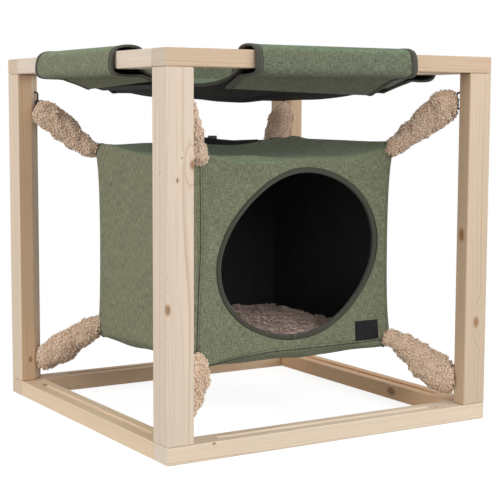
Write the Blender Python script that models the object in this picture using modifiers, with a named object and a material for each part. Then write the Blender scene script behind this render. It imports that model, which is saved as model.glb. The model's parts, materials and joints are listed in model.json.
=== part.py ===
"""Cat hammock: a soft cube den hung by plush-covered elastic arms inside a square wooden frame, with a
cloth hammock strapped over the frame's top rails. Metres, +Z up, front towards -Y, origin at the
centre of the frame's footprint on the floor."""

import math

import bmesh
import bpy
from mathutils import Matrix, Vector

# Clearance that is left between neighbouring pieces
GAP = 0.0003

# Wooden frame
FRAME_WIDTH = 0.500
FRAME_DEPTH = 0.500
FRAME_HEIGHT = 0.500
RAIL_WIDTH = 0.037
RAIL_HEIGHT = 0.022
POST_SIDE = 0.037
POST_CHAMFER = 0.0155
EDGE_EASE = 0.001
GROOVE_LENGTH = 0.340
GROOVE_WIDTH = 0.010
GROOVE_DEPTH = 0.0045

# Screws through the rails into the ends of the posts
SCREW_LENGTH = 0.060
SCREW_SHANK = 0.005
SCREW_HEAD = 0.010
SCREW_RECESS = 0.0006
SOCKET_ACROSS = 0.0035
SOCKET_DEPTH = 0.002

# Wire saddles in the chamfers, which the arms' loops hang on
SADDLE_BELOW_TOP = 0.059
SADDLE_ABOVE_FLOOR = 0.055
SADDLE_SPAN = 0.022
SADDLE_WIRE = 0.003
SADDLE_STAND = 0.0050
SADDLE_BEND = 0.0035
SADDLE_LEG = 0.012

# Cube den, hung with its floor at CUBE_RAISE
CUBE_WIDTH = 0.308
CUBE_DEPTH = 0.300
CUBE_HEIGHT = 0.292
CUBE_RAISE = 0.093
WALL = 0.004
WALL_BOW = 0.002
TOP_SAG_FRONT = 0.018
TOP_SAG_BACK = 0.008
TOP_SAG_MIDDLE = 0.010
FLOOR_ARCH = 0.001
FLOOR_SAG = 0.014
CORNER_CUT = 0.014
PANEL_CELLS = 6

# Oval entrance in the front panel and its binding
ENTRANCE_WIDTH = 0.2474
ENTRANCE_HEIGHT = 0.2115
ENTRANCE_TILT = math.radians(23.5)
ENTRANCE_OFFSET = 0.0078
ENTRANCE_RISE = 0.1405
BINDING_WIDTH = 0.0075
BINDING_DEPTH = 0.0058
BINDING_PROUD = 0.001
OVAL_SIDES = 40

# Bare patch on the front panel, placed from the cube's lower right front corner
PATCH_WIDTH = 0.038
PATCH_HEIGHT = 0.028
PATCH_THICK = 0.0008
PATCH_FROM_SIDE = 0.0365
PATCH_FROM_FLOOR = 0.0275

# Plush mat on the cube's floor
MAT_TOP = 0.031
MAT_CROWN = 0.004
MAT_CLEAR = 0.0025
MAT_PULL_IN = 0.004
MAT_CORNER = 0.010
MAT_ROUND = 0.005

# Zip along the cube's top back edge
ZIP_INSET = 0.027
ZIP_TAPE_HEIGHT = 0.009
ZIP_TAPE_THICK = 0.0024
CHAIN_DIAMETER = 0.0032
SLIDER_LENGTH = 0.012
SLIDER_WIDTH = 0.0072
SLIDER_WALL = 0.0016
SLIDER_PLAY = 0.0004
SLIDER_PLACE = 0.043
PULL_LENGTH = 0.020
PULL_WIDTH = 0.0042
PULL_THICK = 0.0014
PIN_DIAMETER = 0.0014
PIN_STAND = 0.0026
KNUCKLE_DIAMETER = 0.0036
EAR_THICK = 0.0012

# Plush arms: radius at the cube, in the middle and at the post, and how far each one droops
ARM_RADIUS_CUBE = {"top": 0.013, "bottom": 0.016}
ARM_RADIUS_MIDDLE = {"top": 0.0175, "bottom": 0.0215}
ARM_RADIUS_POST = {"top": 0.019, "bottom": 0.0225}
ARM_DROOP = {"top": 0.010, "bottom": 0.001}
ARM_END_RADIUS = 0.013
ARM_END_LENGTH = 0.009
ARM_RINGS = 8
LOOP_CLOTH = 0.0014
LOOP_HEIGHT = 0.012
LOOP_DROP = 0.001
LOOP_PLAY = 0.0005

# Hammock: a sagging bed with concave corners, and a sleeve over each top rail
BED_THICK = 0.003
BED_SAG = 0.034
BED_RIM_BELOW_TOP = 0.026
BED_CELLS = 16
NOTCH_RADIUS = 0.090
SLEEVE_CLOTH = 0.0024
SLEEVE_LOFT = 0.004
SLEEVE_BULGE = 0.0025
TAIL_REACH = 0.098
TAPE_WIDTH = 0.020
TAPE_THICK = 0.0016
TAPE_FROM_RAIL = 0.042
SLEEVE_SHIFT = {"front": -0.006, "back": 0.0, "left": 0.007, "right": 0.0}

# Values that follow from the ones above
POST_LENGTH = FRAME_HEIGHT - 2 * (RAIL_HEIGHT + GAP)
INNER_X = FRAME_WIDTH / 2 - RAIL_WIDTH
INNER_Y = FRAME_DEPTH / 2 - RAIL_WIDTH
CUBE_HALF = Vector((CUBE_WIDTH / 2, CUBE_DEPTH / 2, CUBE_HEIGHT / 2))
CUBE_MIDDLE = CUBE_RAISE + CUBE_HEIGHT / 2
ZIP_LENGTH = CUBE_WIDTH - 2 * ZIP_INSET
MITRE = GAP / math.sqrt(2)
BED_X = INNER_X - 2 * GAP - SLEEVE_CLOTH
BED_Y = INNER_Y - 2 * GAP - SLEEVE_CLOTH
BED_RIM = FRAME_HEIGHT - BED_RIM_BELOW_TOP

CORNERS = {
    "front_left": (-1, -1),
    "front_right": (1, -1),
    "back_left": (-1, 1),
    "back_right": (1, 1),
}
LEVELS = {"bottom": -1, "top": 1}
SIDES = {"front": (0, -1), "back": (0, 1), "left": (-1, 0), "right": (1, 0)}


# Scene helpers


def clear_scene():
    for obj in list(bpy.data.objects):
        bpy.data.objects.remove(obj)


def new_collection(name):
    collection = bpy.data.collections.new(name)
    bpy.context.scene.collection.children.link(collection)
    return collection


def new_material(name, colour, roughness, metallic=0.0):
    material = bpy.data.materials.new(name)
    material.use_nodes = True
    shader = material.node_tree.nodes["Principled BSDF"]
    shader.inputs["Base Color"].default_value = (*colour, 1.0)
    shader.inputs["Roughness"].default_value = roughness
    shader.inputs["Metallic"].default_value = metallic
    return material


def add_object(name, bm, material=None, location=(0, 0, 0)):
    """Turns a bmesh into a named object: a part, or a cutter when it has no material."""
    mesh = bpy.data.meshes.new(name)
    bmesh.ops.recalc_face_normals(bm, faces=bm.faces)
    bm.to_mesh(mesh)
    bm.free()
    obj = bpy.data.objects.new(name, mesh)
    obj.location = location
    return place(obj, material)


def place(obj, material=None):
    """Puts an object in the part's collection, or hides it in the cutters' one."""
    if material is None:
        CUTTERS.objects.link(obj)
        obj.hide_render = True
        obj.display_type = "WIRE"
    else:
        PARTS.objects.link(obj)
        part_material = material.copy()
        part_material.name = obj.name
        obj.data.materials.append(part_material)
    return obj


def box_mesh(size, centre=(0, 0, 0)):
    bm = bmesh.new()
    bmesh.ops.create_cube(bm, size=1.0)
    bmesh.ops.scale(bm, vec=Vector(size), verts=bm.verts)
    bmesh.ops.translate(bm, vec=Vector(centre), verts=bm.verts)
    return bm


def cylinder_mesh(radius, length, axis, sides, centre=(0, 0, 0)):
    bm = bmesh.new()
    turn = Vector((0, 0, 1)).rotation_difference(Vector(axis)).to_matrix().to_4x4()
    matrix = Matrix.Translation(centre) @ turn
    bmesh.ops.create_cone(
        bm,
        cap_ends=True,
        segments=sides,
        radius1=radius,
        radius2=radius,
        depth=length,
        matrix=matrix,
    )
    return bm


def ease_edges(obj, width):
    bevel = obj.modifiers.new("eased_edges", "BEVEL")
    bevel.width = width
    bevel.segments = 1
    bevel.limit_method = "ANGLE"


def cut(obj, cutter, operation="DIFFERENCE"):
    modifier = obj.modifiers.new(f"{operation.lower()}_{cutter.name}", "BOOLEAN")
    modifier.operation = operation
    modifier.object = cutter


def curve_as_mesh(name, points, radii, resolution, bevel_depth, matrix):
    """A tube along the points, made a mesh so that it can cut or be joined."""
    data = bpy.data.curves.new(name, "CURVE")
    data.dimensions = "3D"
    data.bevel_depth = bevel_depth
    data.bevel_resolution = resolution
    data.use_fill_caps = True
    spline = data.splines.new("POLY")
    spline.points.add(len(points) - 1)
    for point, co, radius in zip(spline.points, points, radii):
        point.co = (*co, 1.0)
        point.radius = radius
    return made_mesh(name, data, matrix)


def outline_as_mesh(name, points, height, matrix):
    """A flat outline extruded by height about its own plane."""
    data = bpy.data.curves.new(name, "CURVE")
    data.dimensions = "2D"
    data.fill_mode = "BOTH"
    data.extrude = height / 2
    spline = data.splines.new("POLY")
    spline.points.add(len(points) - 1)
    for point, co in zip(spline.points, points):
        point.co = (*co, 0.0, 1.0)
    spline.use_cyclic_u = True
    return made_mesh(name, data, matrix)


def made_mesh(name, data, matrix):
    guide = bpy.data.objects.new(name + "_guide", data)
    bpy.context.scene.collection.objects.link(guide)
    bpy.context.view_layer.update()
    graph = bpy.context.evaluated_depsgraph_get()
    mesh = bpy.data.meshes.new_from_object(guide.evaluated_get(graph))
    bpy.data.objects.remove(guide)
    bm = bmesh.new()
    bm.from_mesh(mesh)
    bmesh.ops.remove_doubles(bm, verts=bm.verts, dist=0.00001)
    bmesh.ops.recalc_face_normals(bm, faces=bm.faces)
    bm.to_mesh(mesh)
    bm.free()
    mesh.name = name
    obj = bpy.data.objects.new(name, mesh)
    obj.matrix_world = matrix
    return obj


def arc(centre, radius, start_deg, end_deg, steps):
    """Points on an arc in a plane, both ends included."""
    points = []
    for i in range(steps + 1):
        angle = math.radians(start_deg + (end_deg - start_deg) * i / steps)
        points.append(
            (centre[0] + radius * math.cos(angle), centre[1] + radius * math.sin(angle))
        )
    return points


# Wooden frame


def add_rail(level, side):
    across, along = SIDES[side]
    if side in ("front", "back"):
        size = (FRAME_WIDTH, RAIL_WIDTH, RAIL_HEIGHT)
        centre_y = along * (FRAME_DEPTH - RAIL_WIDTH) / 2
        centre = Vector((0, centre_y, 0))
    else:
        size = (RAIL_WIDTH, FRAME_DEPTH - 2 * (RAIL_WIDTH + GAP), RAIL_HEIGHT)
        centre = Vector((across * (FRAME_WIDTH - RAIL_WIDTH) / 2, 0, 0))
    centre.z = RAIL_HEIGHT / 2 if level == "bottom" else FRAME_HEIGHT - RAIL_HEIGHT / 2
    rail = add_object(f"{level}_rail_{side}", box_mesh(size), PINE, centre)
    ease_edges(rail, EDGE_EASE)
    return rail


def cut_groove(rail, side):
    """A stopped groove with a round bottom, along the middle of a bottom rail's top face."""
    radius = (GROOVE_WIDTH**2 / 4 + GROOVE_DEPTH**2) / (2 * GROOVE_DEPTH)
    bm = bmesh.new()
    bmesh.ops.create_uvsphere(bm, u_segments=16, v_segments=7, radius=radius)
    for vert in bm.verts:
        vert.co.z += math.copysign(GROOVE_LENGTH / 2 - radius, vert.co.z)
    axis = Vector((1, 0, 0)) if side in ("front", "back") else Vector((0, 1, 0))
    turn = Vector((0, 0, 1)).rotation_difference(axis).to_matrix()
    bmesh.ops.rotate(bm, cent=(0, 0, 0), matrix=turn, verts=bm.verts)
    top = Vector((rail.location.x, rail.location.y, RAIL_HEIGHT))
    top.z += radius - GROOVE_DEPTH
    cut(rail, add_object(f"groove_{side}", bm, None, top))


def add_post(corner):
    sx, sy = CORNERS[corner]
    bm = box_mesh((POST_SIDE, POST_SIDE, POST_LENGTH))
    inner = [
        edge
        for edge in bm.edges
        if all(vert.co.x * sx < 0 and vert.co.y * sy < 0 for vert in edge.verts)
    ]
    bmesh.ops.bevel(
        bm, geom=inner, offset=POST_CHAMFER, offset_type="OFFSET", segments=1, affect="EDGES"
    )
    post = add_object(f"post_{corner}", bm, PINE, (*post_axis(corner), FRAME_HEIGHT / 2))
    ease_edges(post, EDGE_EASE)
    return post


def post_axis(corner):
    sx, sy = CORNERS[corner]
    return sx * (FRAME_WIDTH - POST_SIDE) / 2, sy * (FRAME_DEPTH - POST_SIDE) / 2


# Post screws


def turned_object(name, profile, material, location, upside_down, sides=12):
    """A turned solid from a profile of (radius, height) points, which runs down its outer side."""
    bm = bmesh.new()
    verts = [bm.verts.new((radius, 0, height)) for radius, height in profile]
    for first, second in zip(verts, verts[1:]):
        bm.edges.new((first, second))
    mesh = bpy.data.meshes.new(name)
    bm.to_mesh(mesh)
    bm.free()
    obj = bpy.data.objects.new(name, mesh)
    obj.location = location
    obj.rotation_euler.x = math.pi if upside_down else 0.0
    place(obj, material)
    screw = obj.modifiers.new("turned", "SCREW")
    screw.axis = "Z"
    screw.steps = sides
    screw.render_steps = sides
    screw.use_merge_vertices = True
    screw.merge_threshold = 0.00001
    return obj


def screw_profile(clearance, above):
    head = SCREW_HEAD / 2 + clearance
    shank = SCREW_SHANK / 2 + clearance
    rim = -0.0004
    length = SCREW_LENGTH + clearance
    return [
        (0.0, above),
        (head, above),
        (head, rim),
        (shank, rim - (head - shank)),
        (shank, SCREW_SHANK - length),
        (0.0, -length),
    ]


def add_screw(level, corner, post, rail):
    x, y = post_axis(corner)
    upside_down = level == "bottom"
    height = SCREW_RECESS if upside_down else FRAME_HEIGHT - SCREW_RECESS
    name = f"post_screw_{level}_{corner}"
    screw = turned_object(name, screw_profile(0.0, 0.0), STEEL, (x, y, height), upside_down)
    depth = 2 * SOCKET_DEPTH
    socket = cylinder_mesh(SOCKET_ACROSS / math.sqrt(3), depth, (0, 0, 1), 6)
    cut(screw, add_object(f"socket_{level}_{corner}", socket, None, (x, y, height)))
    above = SCREW_RECESS + 0.002
    hole = turned_object(
        f"screw_hole_{level}_{corner}",
        screw_profile(GAP, above),
        None,
        (x, y, height),
        upside_down,
    )
    cut(post, hole)
    cut(rail, hole)


# Wire saddles


def saddle_frame(level, corner):
    """The saddle's own axes: X out of the chamfer, Z up, origin on the chamfer's middle."""
    sx, sy = CORNERS[corner]
    reach_x = FRAME_WIDTH / 2 - POST_SIDE + POST_CHAMFER / 2
    reach_y = FRAME_DEPTH / 2 - POST_SIDE + POST_CHAMFER / 2
    height = FRAME_HEIGHT - SADDLE_BELOW_TOP if level == "top" else SADDLE_ABOVE_FLOOR
    turn = Matrix.Rotation(math.atan2(-sy, -sx), 4, "Z")
    return Matrix.Translation((sx * reach_x, sy * reach_y, height)) @ turn


def saddle_path(extra):
    """A staple seen from its side: leg, bend, wire, bend, leg."""
    half = SADDLE_SPAN / 2
    inner = SADDLE_STAND - SADDLE_BEND
    low = arc((inner, -half + SADDLE_BEND), SADDLE_BEND, -90, 0, 3)
    high = arc((inner, half - SADDLE_BEND), SADDLE_BEND, 0, 90, 3)
    leg = -SADDLE_LEG - extra
    flat = [(leg, -half), *low, *high, (leg, half)]
    return [(x, 0.0, z) for x, z in flat]


def add_saddle(level, corner, post):
    frame = saddle_frame(level, corner)
    radii = [1.0] * len(saddle_path(0.0))
    name = f"saddle_{level}_{corner}"
    saddle = curve_as_mesh(name, saddle_path(0.0), radii, 2, SADDLE_WIRE / 2, frame)
    place(saddle, BLACK_STEEL)
    hole = curve_as_mesh(
        f"saddle_hole_{level}_{corner}",
        saddle_path(GAP),
        radii,
        2,
        SADDLE_WIRE / 2 + GAP,
        frame,
    )
    cut(post, place(hole))


# Cube den


def soft(point):
    """Where a point of the plain box lies on the soft cube: sides bowed in, top and floor sagging."""
    x = point.x / CUBE_HALF.x
    y = point.y / CUBE_HALF.y
    z = (point.z - CUBE_MIDDLE) / CUBE_HALF.z
    bow = WALL_BOW * (1 - z * z)
    edge_sag = TOP_SAG_FRONT + (TOP_SAG_BACK - TOP_SAG_FRONT) * (1 + y) / 2
    top_sag = (1 - x * x) * (edge_sag + TOP_SAG_MIDDLE * (1 - y * y))
    arch = FLOOR_ARCH * (1 - x * x * y * y)
    floor_sag = arch - FLOOR_SAG * (1 - x * x) * (1 - y * y)
    near_top = (max(0.0, 1 + z) / 2) ** 2
    near_floor = (max(0.0, 1 - z) / 2) ** 2
    return Vector(
        (
            point.x - bow * x,
            point.y - bow * y,
            point.z - near_top * top_sag + near_floor * floor_sag,
        )
    )


def soften(bm):
    for vert in bm.verts:
        vert.co = soft(vert.co)


def bow_inwards(bm):
    """Follows the soft front's bow in depth only, so that an outline on it keeps its shape."""
    for vert in bm.verts:
        vert.co.y = soft(vert.co).y


def poke_faces_across(bm, axis):
    """Puts a middle point in each face that looks along the axis, so that it bends evenly."""
    faces = [
        face
        for face in bm.faces
        if all(abs(face.verts[0].co[axis] - vert.co[axis]) < 0.5 for vert in face.verts)
    ]
    bmesh.ops.poke(bm, faces=faces)


def panel_mesh(side):
    """One panel of the cube: a plate with mitred edges, subdivided and bent to the soft shape."""
    normal = {
        "front": (0, -1, 0),
        "back": (0, 1, 0),
        "left": (-1, 0, 0),
        "right": (1, 0, 0),
        "top": (0, 0, 1),
        "bottom": (0, 0, -1),
    }[side]
    axis = next(i for i in range(3) if normal[i])
    bm = box_mesh((2, 2, 2))
    across = [
        edge
        for edge in bm.edges
        if abs(edge.verts[0].co[axis] - edge.verts[1].co[axis]) < 0.5
    ]
    bmesh.ops.subdivide_edges(bm, edges=across, cuts=PANEL_CELLS - 1, use_grid_fill=True)
    poke_faces_across(bm, axis)
    for vert in bm.verts:
        inside = vert.co[axis] * normal[axis] < 0
        depth = WALL if inside else 0.0
        for i in range(3):
            if i == axis:
                vert.co[i] = normal[axis] * (CUBE_HALF[i] - depth)
            else:
                vert.co[i] *= CUBE_HALF[i] - depth - MITRE
        vert.co.z += CUBE_MIDDLE
    soften(bm)
    return bm


def cube_corner(level, corner):
    sx, sy = CORNERS[corner]
    sz = LEVELS[level]
    return Vector((sx * CUBE_HALF.x, sy * CUBE_HALF.y, CUBE_MIDDLE + sz * CUBE_HALF.z))


def arm_direction(level, corner):
    saddle = saddle_frame(level, corner).translation
    return (saddle - cube_corner(level, corner)).normalized()


def add_corner_cutters():
    """Boxes that take the cube's eight corners off square to the arms."""
    size = 4 * CORNER_CUT
    cutters = {}
    for level in LEVELS:
        for corner in CORNERS:
            direction = arm_direction(level, corner)
            turn = Vector((0, 0, 1)).rotation_difference(direction).to_matrix()
            bm = box_mesh((size, size, size))
            bmesh.ops.rotate(bm, cent=(0, 0, 0), matrix=turn, verts=bm.verts)
            centre = cube_corner(level, corner) + direction * (size / 2 - CORNER_CUT)
            name = f"corner_{level}_{corner}"
            cutters[level, corner] = add_object(name, bm, None, centre)
    return cutters


def panel_corners(side):
    """The level and corner names that a panel touches."""
    return [
        (level, corner)
        for level in LEVELS
        for corner in CORNERS
        if side == level or (side in SIDES and side in corner)
    ]


def entrance_centre():
    return Vector((ENTRANCE_OFFSET, -CUBE_HALF.y, CUBE_RAISE + ENTRANCE_RISE))


def oval(bm, width, height, y):
    """A closed loop of points on the entrance's tilted oval, in the plane at y."""
    centre = entrance_centre()
    tilt = Matrix.Rotation(ENTRANCE_TILT, 3, "Y")
    verts = []
    for i in range(OVAL_SIDES):
        angle = 2 * math.pi * i / OVAL_SIDES
        flat = Vector((width / 2 * math.cos(angle), 0, height / 2 * math.sin(angle)))
        offset = tilt.inverted() @ flat
        verts.append(bm.verts.new((centre.x + offset.x, y, centre.z + offset.z)))
    return verts


def oval_edges(bm, verts):
    return [bm.edges.new((a, b)) for a, b in zip(verts, verts[1:] + verts[:1])]


def add_entrance(front):
    """The oval hole in the front panel, and the binding that fills its edge."""
    outer_width = ENTRANCE_WIDTH + 2 * BINDING_WIDTH
    outer_height = ENTRANCE_HEIGHT + 2 * BINDING_WIDTH
    near = -CUBE_HALF.y - BINDING_PROUD
    bm = bmesh.new()
    outer = oval_edges(bm, oval(bm, outer_width, outer_height, near))
    inner = oval_edges(bm, oval(bm, ENTRANCE_WIDTH, ENTRANCE_HEIGHT, near))
    ring = bmesh.ops.bridge_loops(bm, edges=outer + inner)
    back = bmesh.ops.extrude_face_region(bm, geom=ring["faces"])
    moved = [item for item in back["geom"] if isinstance(item, bmesh.types.BMVert)]
    bmesh.ops.translate(bm, vec=(0, BINDING_DEPTH, 0), verts=moved)
    bow_inwards(bm)
    add_object("entrance_binding", bm, BINDING)

    bm = bmesh.new()
    verts = oval(bm, outer_width + 2 * GAP, outer_height + 2 * GAP, near - WALL)
    face = bm.faces.new(verts)
    far = bmesh.ops.extrude_face_region(bm, geom=[face])
    moved = [item for item in far["geom"] if isinstance(item, bmesh.types.BMVert)]
    reach = BINDING_PROUD + 3 * WALL + WALL_BOW
    bmesh.ops.translate(bm, vec=(0, reach, 0), verts=moved)
    bow_inwards(bm)
    cut(front, add_object("entrance_hole", bm))


def add_cube():
    cutters = add_corner_cutters()
    panels = {}
    for side in (*SIDES, *LEVELS):
        panel = add_object(f"cube_{side}", panel_mesh(side), GREEN_CLOTH)
        for key in panel_corners(side):
            cut(panel, cutters[key])
        panels[side] = panel
    add_entrance(panels["front"])
    return panels


def add_patch():
    """The bare sewn patch, flat on the front panel near its lower right corner."""
    right = CUBE_HALF.x - PATCH_FROM_SIDE
    low = CUBE_RAISE + PATCH_FROM_FLOOR
    centre = (right, -CUBE_HALF.y - GAP - PATCH_THICK / 2, low)
    bm = box_mesh((PATCH_WIDTH, PATCH_THICK, PATCH_HEIGHT), centre)
    soften(bm)
    add_object("cube_patch", bm, BLACK_CLOTH)


def add_mat():
    """A cushion with a crown, drawn-in sides and rounded corners, lying on the cube's soft floor."""
    floor_half = CUBE_HALF - Vector((WALL + MITRE, WALL + MITRE, 0))
    rim_half = CUBE_HALF - Vector((WALL + MAT_CLEAR, WALL + MAT_CLEAR, 0))
    floor = CUBE_RAISE + WALL + 2 * GAP
    bm = box_mesh((2, 2, 2))
    flat = [e for e in bm.edges if abs(e.verts[0].co.z - e.verts[1].co.z) < 0.5]
    bmesh.ops.subdivide_edges(bm, edges=flat, cuts=PANEL_CELLS - 1, use_grid_fill=True)
    poke_faces_across(bm, 2)
    upright = [e for e in bm.edges if abs(e.verts[0].co.z - e.verts[1].co.z) > 0.5]
    bmesh.ops.subdivide_edges(bm, edges=upright, cuts=2)
    for vert in bm.verts:
        x, y, z = vert.co
        drawn_in = MAT_CORNER * (x * y) ** 4 + (MAT_ROUND if abs(z) > 0.9 else 0.0)
        for i, (along, other) in enumerate(((x, y), (y, x))):
            if abs(along) > 0.99:
                pulled = drawn_in + MAT_PULL_IN * (1 - other * other)
                vert.co[i] = along * (rim_half[i] - pulled)
            else:
                vert.co[i] = along * floor_half[i]
        underside = soft(Vector((vert.co.x, vert.co.y, floor)))
        upper = CUBE_RAISE + MAT_TOP + MAT_CROWN * (1 - x * x) * (1 - y * y)
        vert.co = underside.lerp(Vector((underside.x, underside.y, upper)), (1 + z) / 2)
    add_object("cube_mat", bm, TAUPE_PLUSH)


# Zip


def zip_levels():
    """Heights of the chain's middle and of the slider's lower edge, clear of the cube's top edge."""
    end = Vector((ZIP_LENGTH / 2, CUBE_HALF.y, CUBE_MIDDLE + CUBE_HALF.z))
    legs = soft(end).z + GAP
    chain = legs + CHAIN_DIAMETER / 2 - SLIDER_PLAY
    return chain, legs


def add_zip():
    chain_z, legs_z = zip_levels()
    tape_y = CUBE_HALF.y + GAP + ZIP_TAPE_THICK / 2
    tape = box_mesh(
        (ZIP_LENGTH, ZIP_TAPE_THICK, ZIP_TAPE_HEIGHT),
        (0, tape_y, chain_z - ZIP_TAPE_HEIGHT / 2),
    )
    tape = add_object("zip_tape", tape, ZIP_GREY)
    chain = cylinder_mesh(CHAIN_DIAMETER / 2, ZIP_LENGTH, (1, 0, 0), 12, (0, tape_y, chain_z))
    cut(tape, add_object("zip_chain", chain), "UNION")
    add_slider(tape_y, chain_z, legs_z)


def add_slider(tape_y, chain_z, legs_z):
    """The slider clasps the chain from above; a pin between two ears at its back carries the pull."""
    origin = Vector((SLIDER_PLACE, tape_y, chain_z))
    top = CHAIN_DIAMETER / 2 + SLIDER_PLAY + SLIDER_WALL
    low = legs_z - chain_z
    body = box_mesh((SLIDER_LENGTH, SLIDER_WIDTH, top - low), (0, 0, (top + low) / 2))
    slider = add_object("zip_slider", body, DARK_METAL, origin)
    channel_width = CHAIN_DIAMETER + 2 * SLIDER_PLAY
    channel_top = CHAIN_DIAMETER / 2 + SLIDER_PLAY
    channel_height = channel_top - low + GAP
    channel = box_mesh(
        (2 * SLIDER_LENGTH, channel_width, channel_height),
        (0, 0, channel_top - channel_height / 2),
    )
    cut(slider, add_object("slider_channel", channel, None, origin))

    pin_y = SLIDER_WIDTH / 2 + PIN_STAND
    pin_z = top - KNUCKLE_DIAMETER / 2
    ear_span = PULL_WIDTH + 2 * GAP
    ear_length = PIN_STAND + KNUCKLE_DIAMETER / 2
    for side in (-1, 1):
        ear = box_mesh(
            (EAR_THICK, ear_length + GAP, KNUCKLE_DIAMETER),
            (side * (ear_span + EAR_THICK) / 2, SLIDER_WIDTH / 2 + (ear_length - GAP) / 2, pin_z),
        )
        cut(slider, add_object(f"slider_ear_{side + 1}", ear, None, origin), "UNION")
    pin = cylinder_mesh(
        PIN_DIAMETER / 2, ear_span + EAR_THICK, (1, 0, 0), 12, (0, pin_y, pin_z)
    )
    cut(slider, add_object("slider_pin", pin, None, origin), "UNION")
    add_pull(origin + Vector((0, pin_y, pin_z)))


def add_pull(hinge):
    """The pull: a knuckle round the pin with a flat tab hanging from it."""
    radius = KNUCKLE_DIAMETER / 2
    half = PULL_THICK / 2
    neck = math.degrees(math.asin(half / radius))
    outline = arc((0, 0), radius, -90 + neck, 270 - neck, 14)
    outline += [(-half, -PULL_LENGTH), (half, -PULL_LENGTH)]
    upright = Matrix(((0, 0, 1, 0), (1, 0, 0, 0), (0, 1, 0, 0), (0, 0, 0, 1)))
    matrix = Matrix.Translation(hinge) @ upright
    pull = outline_as_mesh("zip_pull", outline, PULL_WIDTH, matrix)
    place(pull, DARK_METAL)
    bore = cylinder_mesh(PIN_DIAMETER / 2 + GAP, 2 * PULL_WIDTH, (1, 0, 0), 12)
    cut(pull, add_object("pull_bore", bore, None, hinge))


# Plush arms


def arm_points(level, corner):
    """The arm's middle line from the cube's cut corner to its level post end, and its radii."""
    saddle = saddle_frame(level, corner)
    outward = saddle.to_3x3() @ Vector((1, 0, 0))
    direction = arm_direction(level, corner)
    start = cube_corner(level, corner) - direction * (CORNER_CUT - GAP)
    reach = SADDLE_STAND + SADDLE_WIRE / 2 + 3 * GAP
    end = saddle.translation + outward * reach - Vector((0, 0, ARM_DROOP[level]))
    neck = end + outward * ARM_END_LENGTH
    lead = start + direction * CORNER_CUT
    middle = (lead + neck) / 2 - Vector((0, 0, ARM_DROOP[level]))
    points = [start]
    radii = [ARM_RADIUS_CUBE[level]]
    for i in range(ARM_RINGS):
        t = i / (ARM_RINGS - 1)
        points.append(lead * (1 - t) ** 2 + middle * 2 * t * (1 - t) + neck * t * t)
        if t < 0.5:
            share = math.sin(math.pi * t)
            first, last = ARM_RADIUS_CUBE[level], ARM_RADIUS_MIDDLE[level]
        else:
            share = 2 * t - 1
            first, last = ARM_RADIUS_MIDDLE[level], ARM_RADIUS_POST[level]
        radii.append(first * (1 - share) + last * share)
    shoulder = ARM_END_RADIUS + 0.7 * (ARM_RADIUS_POST[level] - ARM_END_RADIUS)
    points += [end + outward * ARM_END_LENGTH * 0.3, end]
    radii += [shoulder, ARM_END_RADIUS]
    return points, radii


def add_arm(level, corner):
    """A plush sleeve over an elastic strap, with the strap's flat loop round the saddle's wire."""
    name = f"arm_{level}_{corner}"
    points, radii = arm_points(level, corner)
    arm = curve_as_mesh(name, points, radii, 3, 1.0, Matrix.Identity(4))
    place(arm, BEIGE_PLUSH)
    saddle = saddle_frame(level, corner)
    inner = SADDLE_WIRE / 2 + LOOP_PLAY
    outer = inner + LOOP_CLOTH
    depth = SADDLE_STAND + 2 * ARM_END_LENGTH
    round_outer = arc((SADDLE_STAND, 0), outer, 270, 90, 8)
    round_inner = arc((SADDLE_STAND, 0), inner, 90, 270, 8)
    outline = [*round_outer, (depth, outer), (depth, inner), *round_inner]
    outline += [(depth, -inner), (depth, -outer)]
    lowered = saddle @ Matrix.Translation((0, 0, -LOOP_DROP))
    loop = outline_as_mesh(f"loop_{level}_{corner}", outline, LOOP_HEIGHT, lowered)
    cut(arm, place(loop), "UNION")


# Hammock


def bed_underside(x, y):
    """Height of the bed's underside: a shallow bowl whose rim meets the sleeves."""
    reach = ((abs(x) / BED_X) ** 6 + (abs(y) / BED_Y) ** 6) ** (1 / 6)
    return BED_RIM - BED_SAG * (1 - 0.8 * reach**2 - 0.2 * reach**8)


def add_bed():
    bm = box_mesh((2 * BED_X, 2 * BED_Y, 2))
    flat = [e for e in bm.edges if abs(e.verts[0].co.z - e.verts[1].co.z) < 0.5]
    bmesh.ops.subdivide_edges(bm, edges=flat, cuts=BED_CELLS - 1, use_grid_fill=True)
    for vert in bm.verts:
        thick = BED_THICK if vert.co.z > 0 else 0.0
        vert.co.z = bed_underside(vert.co.x, vert.co.y) + thick
    bed = add_object("hammock_bed", bm, GREEN_CLOTH)
    for corner, (sx, sy) in CORNERS.items():
        place_xy = (sx * INNER_X, sy * INNER_Y, BED_RIM)
        notch = cylinder_mesh(NOTCH_RADIUS, 4 * BED_SAG, (0, 0, 1), 32)
        cut(bed, add_object(f"notch_{corner}", notch, None, place_xy))


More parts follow.
